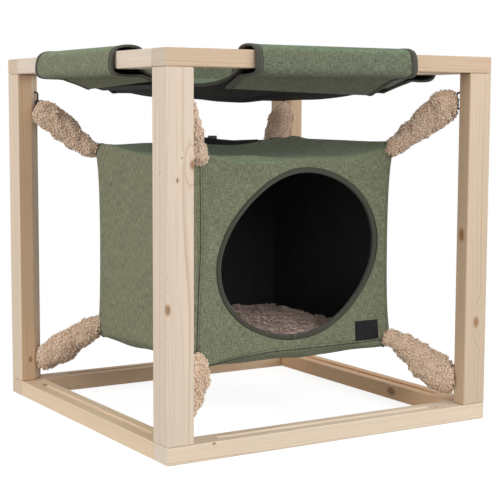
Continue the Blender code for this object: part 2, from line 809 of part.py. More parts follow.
def sleeve_section(side):
    """The sleeve's middle line: distance out from the frame's middle, and height."""
    across = SIDES[side][0]
    inner = INNER_X if across else INNER_Y
    outer = inner + RAIL_WIDTH
    half = SLEEVE_CLOTH / 2
    top = FRAME_HEIGHT
    low = top - RAIL_HEIGHT
    wall = inner - GAP - half
    face = outer + GAP + half
    crest = top + SLEEVE_LOFT + half
    under = low - GAP - half

    def tail(distance):
        x, y = (distance, 0.0) if across else (0.0, distance)
        return bed_underside(x, y) - 2 * GAP - TAPE_THICK - half

    tape_middle = inner - TAPE_FROM_RAIL
    points = [
        (wall, BED_RIM),
        (wall, top + 0.0005),
        (inner + 0.0015, top + 0.0035),
        (inner + 0.2 * RAIL_WIDTH, crest - 0.0005),
        (inner + 0.5 * RAIL_WIDTH, crest),
        (inner + 0.8 * RAIL_WIDTH, crest - 0.0005),
        (outer - 0.001, crest - 0.0015),
        (face + 0.7 * SLEEVE_BULGE, top - 0.001),
        (face + SLEEVE_BULGE, top - 0.5 * RAIL_HEIGHT),
        (face + 0.5 * SLEEVE_BULGE, low),
        (outer - 0.002, under - 0.002),
        (inner + 0.45 * RAIL_WIDTH, under - 0.0045),
    ]
    turn = inner - 0.012
    points.append((turn, tail(turn) - 0.0015))
    for share in (0.0, 0.5, 1.0):
        distance = tape_middle + TAPE_WIDTH * (0.5 - share)
        points.append((distance, tail(distance)))
    points.append((outer - TAIL_REACH, tail(outer - TAIL_REACH)))
    return points


def strip_along(side, points, length, shift):
    """An open sheet with the section's points, run along the rail on one side of the frame."""
    across, along = SIDES[side]
    bm = bmesh.new()
    rows = []
    for distance, height in points:
        row = []
        for end in (-0.5, 0.5):
            place_along = shift + end * length
            if across:
                co = (across * distance, place_along, height)
            else:
                co = (place_along, along * distance, height)
            row.append(bm.verts.new(co))
        rows.append(row)
    for first, second in zip(rows, rows[1:]):
        bm.faces.new((first[0], first[1], second[1], second[0]))
    return bm


def add_sleeve(side):
    across = SIDES[side][0]
    inner_along = INNER_Y if across else INNER_X
    length = 2 * (inner_along - NOTCH_RADIUS)
    shift = SLEEVE_SHIFT[side]
    sheet = strip_along(side, sleeve_section(side), length, shift)
    sleeve = add_object(f"hammock_sleeve_{side}", sheet, GREEN_CLOTH)
    cloth = sleeve.modifiers.new("cloth", "SOLIDIFY")
    cloth.thickness = SLEEVE_CLOTH
    cloth.offset = 0.0
    cloth.use_even_offset = True
    add_closure(side, length, shift)


def add_closure(side, length, shift):
    """The hook-and-loop strip that holds the tail of a sleeve to the bed's underside."""
    across = SIDES[side][0]
    inner = INNER_X if across else INNER_Y
    middle = inner - TAPE_FROM_RAIL
    points = []
    for share in (0.5, 0.0, -0.5):
        distance = middle + TAPE_WIDTH * share
        x, y = (distance, 0.0) if across else (0.0, distance)
        points.append((distance, bed_underside(x, y) - GAP - TAPE_THICK / 2))
    sheet = strip_along(side, points, length - 2 * TAPE_WIDTH, shift)
    closure = add_object(f"closure_strip_{side}", sheet, BLACK_CLOTH)
    cloth = closure.modifiers.new("strip", "SOLIDIFY")
    cloth.thickness = TAPE_THICK
    cloth.offset = 0.0
    cloth.use_even_offset = True


# The whole object


def build():
    rails = {}
    for level in LEVELS:
        for side in SIDES:
            rails[level, side] = add_rail(level, side)
    for side in SIDES:
        cut_groove(rails["bottom", side], side)
    for corner in CORNERS:
        post = add_post(corner)
        long_side = corner.split("_")[0]
        for level in LEVELS:
            add_screw(level, corner, post, rails[level, long_side])
            add_saddle(level, corner, post)
            add_arm(level, corner)
    add_cube()
    add_patch()
    add_mat()
    add_zip()
    add_bed()
    for side in SIDES:
        add_sleeve(side)


clear_scene()
PARTS = new_collection("cat_hammock")
CUTTERS = new_collection("cutters")
PINE = new_material("pine", (0.78, 0.62, 0.44), 0.55)
STEEL = new_material("steel", (0.55, 0.55, 0.56), 0.35, 1.0)
BLACK_STEEL = new_material("black_steel", (0.02, 0.02, 0.02), 0.4, 0.6)
GREEN_CLOTH = new_material("green_cloth", (0.16, 0.21, 0.12), 0.9)
BLACK_CLOTH = new_material("black_cloth", (0.015, 0.015, 0.016), 0.85)
BINDING = new_material("binding", (0.08, 0.07, 0.055), 0.8)
BEIGE_PLUSH = new_material("beige_plush", (0.53, 0.38, 0.24), 0.95)
TAUPE_PLUSH = new_material("taupe_plush", (0.24, 0.18, 0.16), 0.95)
ZIP_GREY = new_material("zip_grey", (0.07, 0.065, 0.06), 0.7)
DARK_METAL = new_material("dark_metal", (0.1, 0.1, 0.1), 0.4, 1.0)
build()
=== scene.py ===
"""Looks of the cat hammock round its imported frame: pine, heather cloth, curly plush, bindings, zip, camera
and light. Metres, +Z up, front towards -Y, in the same frame as the solids."""

import json
import math

import bmesh
import bpy
import numpy as np
from mathutils import Matrix, Vector

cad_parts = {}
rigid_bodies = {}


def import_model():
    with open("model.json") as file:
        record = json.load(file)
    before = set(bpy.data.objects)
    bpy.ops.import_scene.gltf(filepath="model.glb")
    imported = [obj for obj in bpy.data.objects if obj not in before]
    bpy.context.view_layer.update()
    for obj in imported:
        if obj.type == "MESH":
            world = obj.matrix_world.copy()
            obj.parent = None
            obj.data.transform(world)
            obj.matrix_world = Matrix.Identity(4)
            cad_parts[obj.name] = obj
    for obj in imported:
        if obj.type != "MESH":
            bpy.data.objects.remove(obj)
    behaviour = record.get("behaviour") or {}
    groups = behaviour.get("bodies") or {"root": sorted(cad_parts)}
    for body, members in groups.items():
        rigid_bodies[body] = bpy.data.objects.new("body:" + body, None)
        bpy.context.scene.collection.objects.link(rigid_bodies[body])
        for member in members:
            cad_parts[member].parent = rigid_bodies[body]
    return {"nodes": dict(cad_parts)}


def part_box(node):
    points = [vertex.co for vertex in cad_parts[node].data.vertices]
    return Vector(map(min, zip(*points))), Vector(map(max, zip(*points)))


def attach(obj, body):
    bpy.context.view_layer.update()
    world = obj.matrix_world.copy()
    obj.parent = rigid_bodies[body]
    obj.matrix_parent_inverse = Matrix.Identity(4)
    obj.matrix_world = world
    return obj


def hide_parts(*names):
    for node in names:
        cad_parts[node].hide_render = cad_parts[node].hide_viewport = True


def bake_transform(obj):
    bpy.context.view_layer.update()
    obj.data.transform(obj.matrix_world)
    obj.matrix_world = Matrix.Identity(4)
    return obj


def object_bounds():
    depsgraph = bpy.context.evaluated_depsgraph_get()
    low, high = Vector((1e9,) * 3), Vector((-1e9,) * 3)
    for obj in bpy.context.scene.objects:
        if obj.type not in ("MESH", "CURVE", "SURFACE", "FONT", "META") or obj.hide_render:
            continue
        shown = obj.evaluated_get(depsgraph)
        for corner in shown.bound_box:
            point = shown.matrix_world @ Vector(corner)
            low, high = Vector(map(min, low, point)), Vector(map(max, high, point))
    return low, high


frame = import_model()
CAD_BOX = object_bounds()

# Half the frame's inner width
INNER = -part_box("top_rail_front")[1][1]

# The cube's soft shape, as in the solids
HALF = np.array([0.154, 0.150, 0.146])
CUBE_MIDDLE = 0.239
MIDDLE = np.array([0, 0, CUBE_MIDDLE])
WALL = 0.004
WALL_BOW = 0.002
TOP_SAG_FRONT = 0.018
TOP_SAG_BACK = 0.008
TOP_SAG_MIDDLE = 0.010
FLOOR_ARCH = 0.001
FLOOR_SAG = 0.014
CORNER_CUT = 0.014
COVER_CUT = CORNER_CUT - 0.0004
EDGE_ROUND = 0.0045
TOP_EDGE_ROUND = 0.018
FLOOR_EDGE_ROUND = 0.016
SEAM_INSET = 0.0022
RIGHT_STRETCH = 0.0046
PULL_REACH = 0.024
# Where the cloth rises at the top's right edge, and how far
CREST = np.array([0.150, 0.092])
CREST_HEIGHT = 0.0045
# How far the sewn cloth hangs below the plain sag: along the top's left edge, as a polynomial of the
# depth, beside the zip, along the front's top edge, and at the left of the floor
LEFT_DIP = (0.00834, 0.00544, -0.01688, -0.00288, 0.01407)
ZIP_DIP = 0.0055
FRONT_DIP = 0.018
FLOOR_DIP = 0.0038

# Oval entrance and its binding
ENTRANCE = np.array([0.1237, 0.10575])
ENTRANCE_CENTRE = np.array([0.0078, 0.2335])
ENTRANCE_TILT = math.radians(23.5)
# Share of the way round at which the binding's ends are joined
JOIN_SHARE = 0.735

# Bare patch
PATCH_SIZE = np.array([0.0360, 0.028])
PATCH_CENTRE = np.array([0.1144, 0.1205])

# Mat and arms
MAT_HALF = 0.1400
MAT_TOP = 0.1205
MAT_CROWN = 0.004
MAT_PILE = 0.0045
MAT_TUFTS = 5200
ARM_SIDES = 40
ARM_TUFTS = 1550
END_TUFTS = 90
GOLDEN_TURN = math.pi * (3 - math.sqrt(5))

# Hammock
BED_THICK = 0.0022
BED_SAG = 0.034
BED_RIM = 0.474
BED_SIZE = 0.210
CLOTH = 0.0018
TAPE_WIDTH = 0.0085
TAPE_THICK = 0.0032
SLEEVE_LENGTH = 0.246
SLEEVE_SHIFT = {"front": -0.006, "back": 0.0, "left": 0.007, "right": 0.0}
# How far from the middle the closure strips lie
CLOSURE_OUT = 0.171
# The bed's straight edges
BED_EDGE = INNER - 0.0013
# Section of the thread beside a binding, as (across, normal)
SEAM_LINE = (
    (0.0008, 0.0), (0.0004, 0.0013), (-0.0004, 0.0013), (-0.0008, 0.0), (-0.0004, -0.0013),
    (0.0004, -0.0013),
)

# Saddles
SADDLE_MIDDLE = 0.22075
SADDLE_HEIGHT = {"top": 0.441, "bottom": 0.055}
SADDLE_STAND = 0.0050
STRAP_DROP = {"top": 0.0115, "bottom": 0.0070}

SIDES = {"front": (0, -1), "back": (0, 1), "left": (-1, 0), "right": (1, 0)}
CORNERS = {"front_left": (-1, -1), "front_right": (1, -1), "back_left": (-1, 1), "back_right": (1, 1)}

# Each arm from the cube to its post: distance from the middle along X and along Y, height, radius
ARM_TOP_BACK = (
    (0.1524, 0.3660, 0.0138), (0.1620, 0.3715, 0.0150), (0.1707, 0.3788, 0.0165),
    (0.1786, 0.3874, 0.0190), (0.1859, 0.3975, 0.0198), (0.1940, 0.4062, 0.0195),
    (0.2024, 0.4146, 0.0197), (0.2110, 0.4205, 0.0196), (0.2165, 0.4235, 0.0182),
)
ARM_TOP_FRONT_RIGHT = (
    (0.1530, 0.3745, 0.0130), (0.1605, 0.3808, 0.0145), (0.1679, 0.3897, 0.0150),
    (0.1752, 0.3994, 0.0168), (0.1828, 0.4080, 0.0196), (0.1913, 0.4163, 0.0212),
    (0.1993, 0.4254, 0.0225), (0.2079, 0.4342, 0.0232), (0.2159, 0.4346, 0.0180),
)
ARM_TOP_FRONT_LEFT = (
    (0.1513, 0.3668, 0.0142), (0.1601, 0.3728, 0.0148), (0.1679, 0.3827, 0.0145),
    (0.1752, 0.3934, 0.0155), (0.1828, 0.4030, 0.0172), (0.1909, 0.4119, 0.0185),
    (0.1996, 0.4216, 0.0190), (0.2078, 0.4284, 0.0190), (0.2154, 0.4308, 0.0170),
)
ARM_BOTTOM_BACK = (
    (0.1492, 0.1074, 0.0150), (0.1586, 0.1027, 0.0180), (0.1676, 0.0946, 0.0190),
    (0.1771, 0.0875, 0.0195), (0.1854, 0.0787, 0.0220), (0.1942, 0.0701, 0.0232),
    (0.2037, 0.0626, 0.0225), (0.2125, 0.0560, 0.0206), (0.2165, 0.0550, 0.0188),
)
ARM_BOTTOM_FRONT_RIGHT = (
    (0.1545, 0.1094, 0.0130), (0.1625, 0.1024, 0.0158), (0.1712, 0.0961, 0.0186),
    (0.1797, 0.0883, 0.0201), (0.1869, 0.0782, 0.0223), (0.1952, 0.0702, 0.0248),
    (0.2035, 0.0616, 0.0254), (0.2125, 0.0550, 0.0240), (0.2190, 0.0535, 0.0215),
)
ARM_BOTTOM_FRONT_LEFT = (
    (0.1522, 0.0994, 0.0140), (0.1609, 0.0934, 0.0182), (0.1702, 0.0881, 0.0204),
    (0.1797, 0.0823, 0.0214), (0.1869, 0.0752, 0.0222), (0.1952, 0.0682, 0.0220),
    (0.2035, 0.0611, 0.0220), (0.2115, 0.0562, 0.0205), (0.2165, 0.0550, 0.0180),
)
# How far an arm's curls stand out of its tube
FUR = 0.0030

# How far each of the cube's corners is drawn out by its arm
CORNER_PULL = {
    ("top", "front_left"): (-0.0030, -0.0030, 0.0000),
    ("top", "front_right"): (0.0052, -0.0058, 0.0032),
    ("top", "back_left"): (-0.0041, 0.0041, 0.0000),
    ("top", "back_right"): (0.0030, 0.0030, 0.0010),
    ("bottom", "front_left"): (-0.0015, -0.0015, 0.0000),
    ("bottom", "front_right"): (0.0058, -0.0064, 0.0034),
    ("bottom", "back_left"): (-0.0016, 0.0016, 0.0000),
    ("bottom", "back_right"): (0.0015, 0.0015, 0.0000),
}


# Small numeric helpers


def unit(vectors):
    return vectors / np.maximum(np.linalg.norm(vectors, axis=-1, keepdims=True), 1e-12)


def waves(points, wavelength, seed, count=10):
    """A smooth random field of about unit size, made of plane waves in many directions."""
    rng = np.random.default_rng(seed)
    directions = unit(rng.normal(size=(count, 3)))
    phases = rng.uniform(0, 2 * math.pi, count)
    lengths = wavelength * rng.uniform(0.75, 1.35, count)
    angles = points @ directions.T * (2 * math.pi / lengths) + phases
    return np.sin(angles).sum(-1) * math.sqrt(2 / count)


def smoothstep(value, low, high):
    t = np.clip((value - low) / (high - low), 0, 1)
    return t * t * (3 - 2 * t)


def spline_through(points, per_span):
    """Points on a smooth curve through the given ones."""
    p = np.asarray(points, float)
    p = np.vstack([2 * p[0] - p[1], p, 2 * p[-1] - p[-2]])
    found = []
    for a, b, c, d in zip(p, p[1:], p[2:], p[3:]):
        for j in range(per_span):
            t = j / per_span
            bend = (2 * a - 5 * b + 4 * c - d) * t**2 + (3 * b - a - 3 * c + d) * t**3
            found.append(0.5 * (2 * b + (c - a) * t + bend))
    found.append(p[-2])
    return np.array(found)


def lengths_along(path):
    steps = np.linalg.norm(np.diff(path, axis=0), axis=1)
    return np.concatenate([[0], np.cumsum(steps)])


def tangents_of(path, closed=False):
    if closed:
        return unit(np.roll(path, -1, axis=0) - np.roll(path, 1, axis=0))
    return unit(np.gradient(path, axis=0))


def at_lengths(values, along, where):
    """The values of a path's points at the given lengths along it."""
    return np.stack([np.interp(where, along, values[:, i]) for i in range(3)], -1)


def places(*parts):
    """Points from their coordinates, each a number or an array."""
    return np.stack(np.broadcast_arrays(*parts), -1)


def repeated(direction, count):
    """The same direction at each of a path's points."""
    return np.repeat(np.array([direction], float), count, 0)


def round_profile(radius, sides):
    """A round section for band."""
    turn = np.linspace(0, 2 * math.pi, sides, endpoint=False)
    return places(radius * np.cos(turn), radius * np.sin(turn))


def rims_of(grid):
    """The four outer rows of a grid, all in the same sense round it."""
    return grid[0], grid[-1][::-1], grid[:, -1], grid[::-1, 0]


def sampled(grid, row, column):
    """Values of a grid at places between its rows and columns."""
    i, j = np.clip(row.astype(int), 0, len(grid) - 2), column.astype(int)
    a, b = (row - i)[:, None], (column - j)[:, None]
    first = grid[i, j] * (1 - a) + grid[i + 1, j] * a
    second = grid[i, j + 1] * (1 - a) + grid[i + 1, j + 1] * a
    return first * (1 - b) + second * b


# Meshes

# Points of a piece nearer than this become one
WELD = 0.00001


class Sheet:
    """Collects grids of points, with cloth coordinates in metres, into one mesh."""

    def __init__(self):
        self.points = []
        self.faces = []
        self.uvs = []
        self.slots = []
        self.tips = []
        self.count = 0

    def grid(self, points, uv=None, slot=0, flip=False, tip=None):
        """Adds a grid of rows and columns of points. tip is 0 at a tuft's root and 1 at its end."""
        rows, cols = points.shape[:2]
        index = np.arange(rows * cols).reshape(rows, cols)
        a, b, c, d = index[:-1, :-1], index[:-1, 1:], index[1:, 1:], index[1:, :-1]
        quads = np.stack([a, b, c, d], -1).reshape(-1, 4)
        if flip:
            quads = quads[:, ::-1]
        uv = np.zeros((rows * cols, 2)) if uv is None else uv.reshape(-1, 2)
        self.add(points.reshape(-1, 3), quads, uv, slot, tip)

    def add(self, points, quads, uv, slot=0, tip=None):
        self.points.append(points)
        self.faces.append(quads + self.count)
        self.uvs.append(uv[quads].reshape(-1, 2))
        self.slots.append(np.full(len(quads), slot))
        self.tips.append(np.zeros(len(points)) if tip is None else tip.reshape(-1))
        self.count += len(points)

    def make(self, name, materials, node, body, slot, weld=WELD):
        points = np.vstack(self.points)
        quads = np.vstack(self.faces)
        mesh = bpy.data.meshes.new(name)
        mesh.from_pydata(points.tolist(), [], quads.tolist())
        layer = mesh.uv_layers.new(name="cloth")
        layer.data.foreach_set("uv", np.vstack(self.uvs).astype(np.float32).ravel())
        tips = mesh.attributes.new("tip", "FLOAT", "POINT")
        tips.data.foreach_set("value", np.concatenate(self.tips).astype(np.float32))
        mesh.polygons.foreach_set("material_index", np.concatenate(self.slots).astype(np.int32))
        mesh.polygons.foreach_set("use_smooth", np.ones(len(quads), bool))
        for material in materials:
            mesh.materials.append(material)
        if weld:
            bm = bmesh.new()
            bm.from_mesh(mesh)
            bmesh.ops.remove_doubles(bm, verts=bm.verts, dist=weld)
            bmesh.ops.dissolve_degenerate(bm, edges=bm.edges, dist=weld)
            bm.to_mesh(mesh)
            bm.free()
        mesh.update()
        return settle(name, mesh, node, body)


def new_object(name, data):
    made = bpy.data.objects.new(name, data)
    bpy.context.scene.collection.objects.link(made)
    return made


def settle(name, mesh, nodes, body):
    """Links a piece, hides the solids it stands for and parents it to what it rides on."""
    piece = new_object(name, mesh)
    if nodes:
        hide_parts(*([nodes] if isinstance(nodes, str) else nodes))
    if body:
        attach(piece, body)
    return piece


def band(sheet, path, across, normal, profile, slot=0, closed=False):
    """Sweeps a closed profile of (across, normal) offsets along a path."""
    profile = np.asarray(profile)
    loop = np.vstack([profile, profile[:1]])
    points = path[:, None] + across[:, None] * loop[:, :1] + normal[:, None] * loop[:, 1:]
    u = lengths_along(path)
    if closed:
        points = np.concatenate([points, points[:1]])
        u = np.append(u, u[-1] + np.linalg.norm(path[0] - path[-1]))
    else:
        middles = np.broadcast_to(points[:, :-1].mean(1, keepdims=True), points.shape)
        points = np.concatenate([middles[:1], points, middles[-1:]])
        u = np.concatenate([[u[0]], u, [u[-1]]])
    v = lengths_along(loop)
    sheet.grid(points, places(u[:, None], v), slot)


def tape_profile(start, width, thick, steps=4):
    """A flat band with rounded sides, from start to start + width across."""
    r = thick / 2
    points = []
    for middle, quarter in ((start + width - r, math.pi / 2), (start + r, -math.pi / 2)):
        for i in range(steps + 1):
            a = quarter - math.pi * i / steps
            points.append((middle + r * math.cos(a), r * math.sin(a)))
    return points


# Rings of a stitch: place along it, size, and height over its path
STITCH_SHAPE = ((-0.5, 0.1, -0.4), (-0.35, 1.0, 0.5), (0.35, 1.0, 0.5), (0.5, 0.1, -0.4))


def add_stitches(sheet, path, normal, pitch=0.0036, length=0.0025, radius=0.00028):
    """Short threads that lie along a path on a surface."""
    along = lengths_along(path)
    tangent = tangents_of(path)
    angles = np.arange(6) * (2 * math.pi / 5)
    for k in range(int(along[-1] / pitch)):
        s = (k + 0.5) * pitch
        at, t, n = (at_lengths(values, along, s) for values in (path, tangent, normal))
        t, n = unit(t), unit(n)
        circle = np.outer(np.cos(angles), np.cross(t, n)) + np.outer(np.sin(angles), n)
        rings = []
        for offset, size, lift in STITCH_SHAPE:
            middle = at + t * offset * length + n * lift * radius
            rings.append(middle + circle * radius * size)
        sheet.grid(np.array(rings))


# Materials


class Nodes:
    """A thin wrapper that adds shader nodes to a tree and links them by name."""

    def __init__(self, tree):
        self.tree = tree

    def new(self, kind, **inputs):
        node = self.tree.nodes.new(kind)
        for key, value in inputs.items():
            self.put(node, key.replace("_", " "), value)
        return node

    def put(self, node, key, value):
        """Sets or links an input, named, or numbered as in i2."""
        socket = node.inputs[int(key[1:])] if key[0] == "i" and key[1:].isdigit() else node.inputs[key]
        if isinstance(value, bpy.types.NodeSocket):
            self.tree.links.new(value, socket)
        else:
            socket.default_value = value

    def math(self, operation, a, b=0.0, c=0.0):
        node = self.new("ShaderNodeMath", i0=a, i1=b, i2=c)
        node.operation = operation
        return node.outputs[0]

    def total(self, *terms):
        """The sum of values, each times its weight."""
        parts = [self.math("MULTIPLY", value, weight) for value, weight in terms]
        while len(parts) > 1:
            parts[:2] = [self.math("ADD", parts[0], parts[1])]
        return parts[0]

    def vector(self, operation, a, b=(0, 0, 0), scale=1.0):
        node = self.tree.nodes.new("ShaderNodeVectorMath")
        node.operation = operation
        self.put(node, "i0", a)
        self.put(node, "i1", b)
        if operation == "SCALE":
            self.put(node, "Scale", scale)
        return node.outputs["Value" if operation in ("LENGTH", "DOT_PRODUCT") else 0]

    def facing(self, direction):
        """The cosine of the angle between the surface's normal and a direction."""
        geometry = self.tree.nodes.new("ShaderNodeNewGeometry")
        return self.vector("DOT_PRODUCT", geometry.outputs["Normal"], direction)

    def seen_directly(self):
        """1 for rays from the camera and for reflections and refractions of it, else 0."""
        rays = self.tree.nodes.new("ShaderNodeLightPath").outputs
        mirrored = self.math("MAXIMUM", rays["Is Glossy Ray"], rays["Is Transmission Ray"])
        return self.math("MAXIMUM", rays["Is Camera Ray"], mirrored)

    def objects(self):
        return self.tree.nodes.new("ShaderNodeTexCoord").outputs["Object"]

    def cloth(self):
        node = self.tree.nodes.new("ShaderNodeUVMap")
        node.uv_map = "cloth"
        return node.outputs[0]

    def stretched(self, vector, scale, place=(0, 0, 0)):
        node = self.new("ShaderNodeMapping", Vector=vector, Scale=scale, Location=place)
        return node.outputs[0]

    def noise(self, vector, size, detail=2.0, roughness=0.5, colour=False):
        node = self.new(
            "ShaderNodeTexNoise", Vector=vector, Scale=1 / size, Detail=detail, Roughness=roughness
        )
        return node.outputs["Color" if colour else "Fac"]

    def ramp(self, value, *stops):
        node = self.new("ShaderNodeValToRGB", Fac=value)
        elements = node.color_ramp.elements
        while len(elements) < len(stops):
            elements.new(0.5)
        for element, (position, colour) in zip(elements, stops):
            element.position = position
            element.color = (*colour, 1) if isinstance(colour, tuple) else (colour, colour, colour, 1)
        return node.outputs["Color"]

    def mix(self, factor, first, second, blend="MIX"):
        node = self.tree.nodes.new("ShaderNodeMix")
        node.data_type = "RGBA"
        node.blend_type = blend
        self.put(node, "i0", factor)
        for socket, value in ((6, first), (7, second)):
            value = (*value, 1) if isinstance(value, tuple) and len(value) == 3 else value
            self.put(node, f"i{socket}", value)
        return node.outputs[2]

    def tinted(self, factor, colour, tint):
        return self.mix(factor, colour, self.mix(1.0, colour, tint, "MULTIPLY"))

    def remap(self, value, low, high, to_low=0.0, to_high=1.0, smooth=True):
        node = self.new("ShaderNodeMapRange", i0=value, i1=low, i2=high, i3=to_low, i4=to_high)
        node.interpolation_type = "SMOOTHSTEP" if smooth else "LINEAR"
        return node.outputs[0]


class Surface(Nodes):
    """The nodes of a new material."""

    def __init__(self, name, roughness, sheen=0.0, specular=0.3, metallic=0.0):
        self.material = bpy.data.materials.new(name)
        self.material.use_nodes = True
        super().__init__(self.material.node_tree)
        self.shader = self.tree.nodes["Principled BSDF"]
        self.put(self.shader, "Sheen Weight", sheen)
        self.put(self.shader, "Sheen Roughness", 0.5)
        self.put(self.shader, "Specular IOR Level", specular)
        self.put(self.shader, "Metallic", metallic)
        self.rough(roughness)

    def colour(self, value):
        self.put(self.shader, "Base Color", value)

    def rough(self, value):
        self.put(self.shader, "Roughness", value)

    def bump(self, height, distance, strength=1.0):
        node = self.new("ShaderNodeBump", Height=height, Distance=distance, Strength=strength)
        self.put(self.shader, "Normal", node.outputs[0])


def weave(nodes, thread):
    """Height of a plain weave of threads this wide, from 0 to 1."""
    split = nodes.new("ShaderNodeSeparateXYZ", Vector=nodes.cloth())
    u = nodes.math("MULTIPLY", split.outputs[0], math.pi / thread)
    v = nodes.math("MULTIPLY", split.outputs[1], math.pi / thread)
    warp = nodes.math("ABSOLUTE", nodes.math("SINE", u))
    weft = nodes.math("ABSOLUTE", nodes.math("SINE", v))
    over = nodes.math("MULTIPLY", nodes.math("COSINE", u), nodes.math("COSINE", v))
    share = nodes.remap(over, -0.3, 0.3)
    return nodes.total((warp, share), (weft, nodes.math("SUBTRACT", 1.0, share)))


def heather(name, dark, middle, light, upright=0.36, level=0.36):
    """Linen-look cloth: threads of unlike shades both ways, with slubs, over a soft mottle.

    upright and level weigh the two ways. What faces up gets painted light: lighter and greener, as sky light
    makes it."""
    nodes = Surface(name, 0.92, sheen=0.12, specular=0.15)
    uv = nodes.cloth()
    warp = nodes.noise(nodes.stretched(uv, (1.0, 0.11, 1.0)), 0.0010, 1.0, 0.6)
    weft = nodes.noise(nodes.stretched(uv, (0.11, 1.0, 1.0)), 0.0010, 1.0, 0.6)
    fleck = nodes.noise(nodes.stretched(uv, (0.35, 1.0, 1.0), (3, 5, 0)), 0.0010, 2.0)
    mottle = nodes.noise(uv, 0.030, 3.0)
    height = weave(nodes, 0.0011)
    tone = nodes.total((warp, upright), (weft, level), (fleck, 0.20), (mottle, 0.08), (height, 0.06))
    colour = nodes.ramp(tone, (0.400, dark), (0.530, middle), (0.670, light))
    # Painted light: faces turned up are made lighter and greener
    painted_sky_light = nodes.remap(nodes.facing((0.0, 0.0, 1.0)), 0.30, 0.80)
    nodes.colour(nodes.tinted(painted_sky_light, colour, (1.14, 1.32, 1.20)))
    nodes.bump(nodes.total((height, 0.6), (tone, 0.9)), 0.0006, 0.7)
    return nodes.material


def plain_cloth(name, dark, light, thread=0.0009, rough=0.85, sheen=0.1):
    """Plain woven cloth with a soft mottle."""
    nodes = Surface(name, rough, sheen=sheen, specular=0.2)
    height = weave(nodes, thread)
    mottle = nodes.noise(nodes.cloth(), 0.012, 3.0)
    shade = nodes.total((height, 0.45), (mottle, 0.55))
    nodes.colour(nodes.ramp(shade, (0.25, dark), (0.75, light)))
    nodes.bump(height, 0.0004, 0.6)
    return nodes.material


def tape_cloth(name, dark, light):
    """Binding tape with fine ribs across its length."""
    nodes = Surface(name, 0.8, sheen=0.15, specular=0.2)
    uv = nodes.cloth()
    split = nodes.new("ShaderNodeSeparateXYZ", Vector=uv)
    ribs = nodes.math("SINE", nodes.math("MULTIPLY", split.outputs[0], 2 * math.pi / 0.0011))
    ribs = nodes.math("MULTIPLY_ADD", ribs, 0.5, 0.5)
    fleck = nodes.noise(nodes.stretched(uv, (0.35, 1.0, 1.0)), 0.0012, 3.0)
    nodes.colour(nodes.ramp(nodes.total((ribs, 0.35), (fleck, 0.65)), (0.25, dark), (0.8, light)))
    nodes.bump(nodes.math("ADD", ribs, fleck), 0.0003, 0.6)
    return nodes.material


def plush(name, root, low, high, clump):
    """Curly pile with painted shade: dark at the roots between the tufts, pale at their tips."""
    nodes = Surface(name, 0.95, sheen=0.15, specular=0.1)
    place = nodes.objects()
    patch = nodes.noise(place, clump, 3.0)
    fine = nodes.noise(place, clump / 8, 2.0)
    tip = nodes.tree.nodes.new("ShaderNodeAttribute")
    tip.attribute_name = "tip"
    fibre = nodes.ramp(nodes.total((patch, 0.55), (fine, 0.45)), (0.35, low), (0.65, high))
    # Painted shade: the root colour near each tuft's root, the fibre colour towards its tip
    nodes.colour(nodes.mix(nodes.remap(tip.outputs["Fac"], 0.10, 0.70), root, fibre))
    nodes.bump(fine, 0.0015, 0.5)
    return nodes.material


def metal(name, colour, roughness, metallic=1.0):
    """Metal or hard plastic with smudges and fine scratches."""
    nodes = Surface(name, roughness, specular=0.5, metallic=metallic)
    place = nodes.objects()
    smudge = nodes.noise(place, 0.006, 4.0)
    scratch = nodes.noise(nodes.stretched(place, (1, 1, 12)), 0.0008, 2.0)
    worn = tuple(min(1.0, c * 1.5 + 0.02) for c in colour)
    nodes.colour(nodes.mix(nodes.remap(smudge, 0.35, 0.75), colour, worn))
    nodes.rough(nodes.remap(smudge, 0.2, 0.8, roughness * 0.75, min(1.0, roughness * 1.35)))
    nodes.bump(scratch, 0.00008, 0.4)
    return nodes.material


# Width of a year's ring, and the colours of early wood, late wood and a knot
RING = 0.0024
PALE_WOOD = (0.735, 0.610, 0.475)
LATE_WOOD = (0.560, 0.385, 0.245)
KNOT_WOOD = (0.300, 0.160, 0.080)
KNOT_LIGHT = (0.42, 0.24, 0.12)


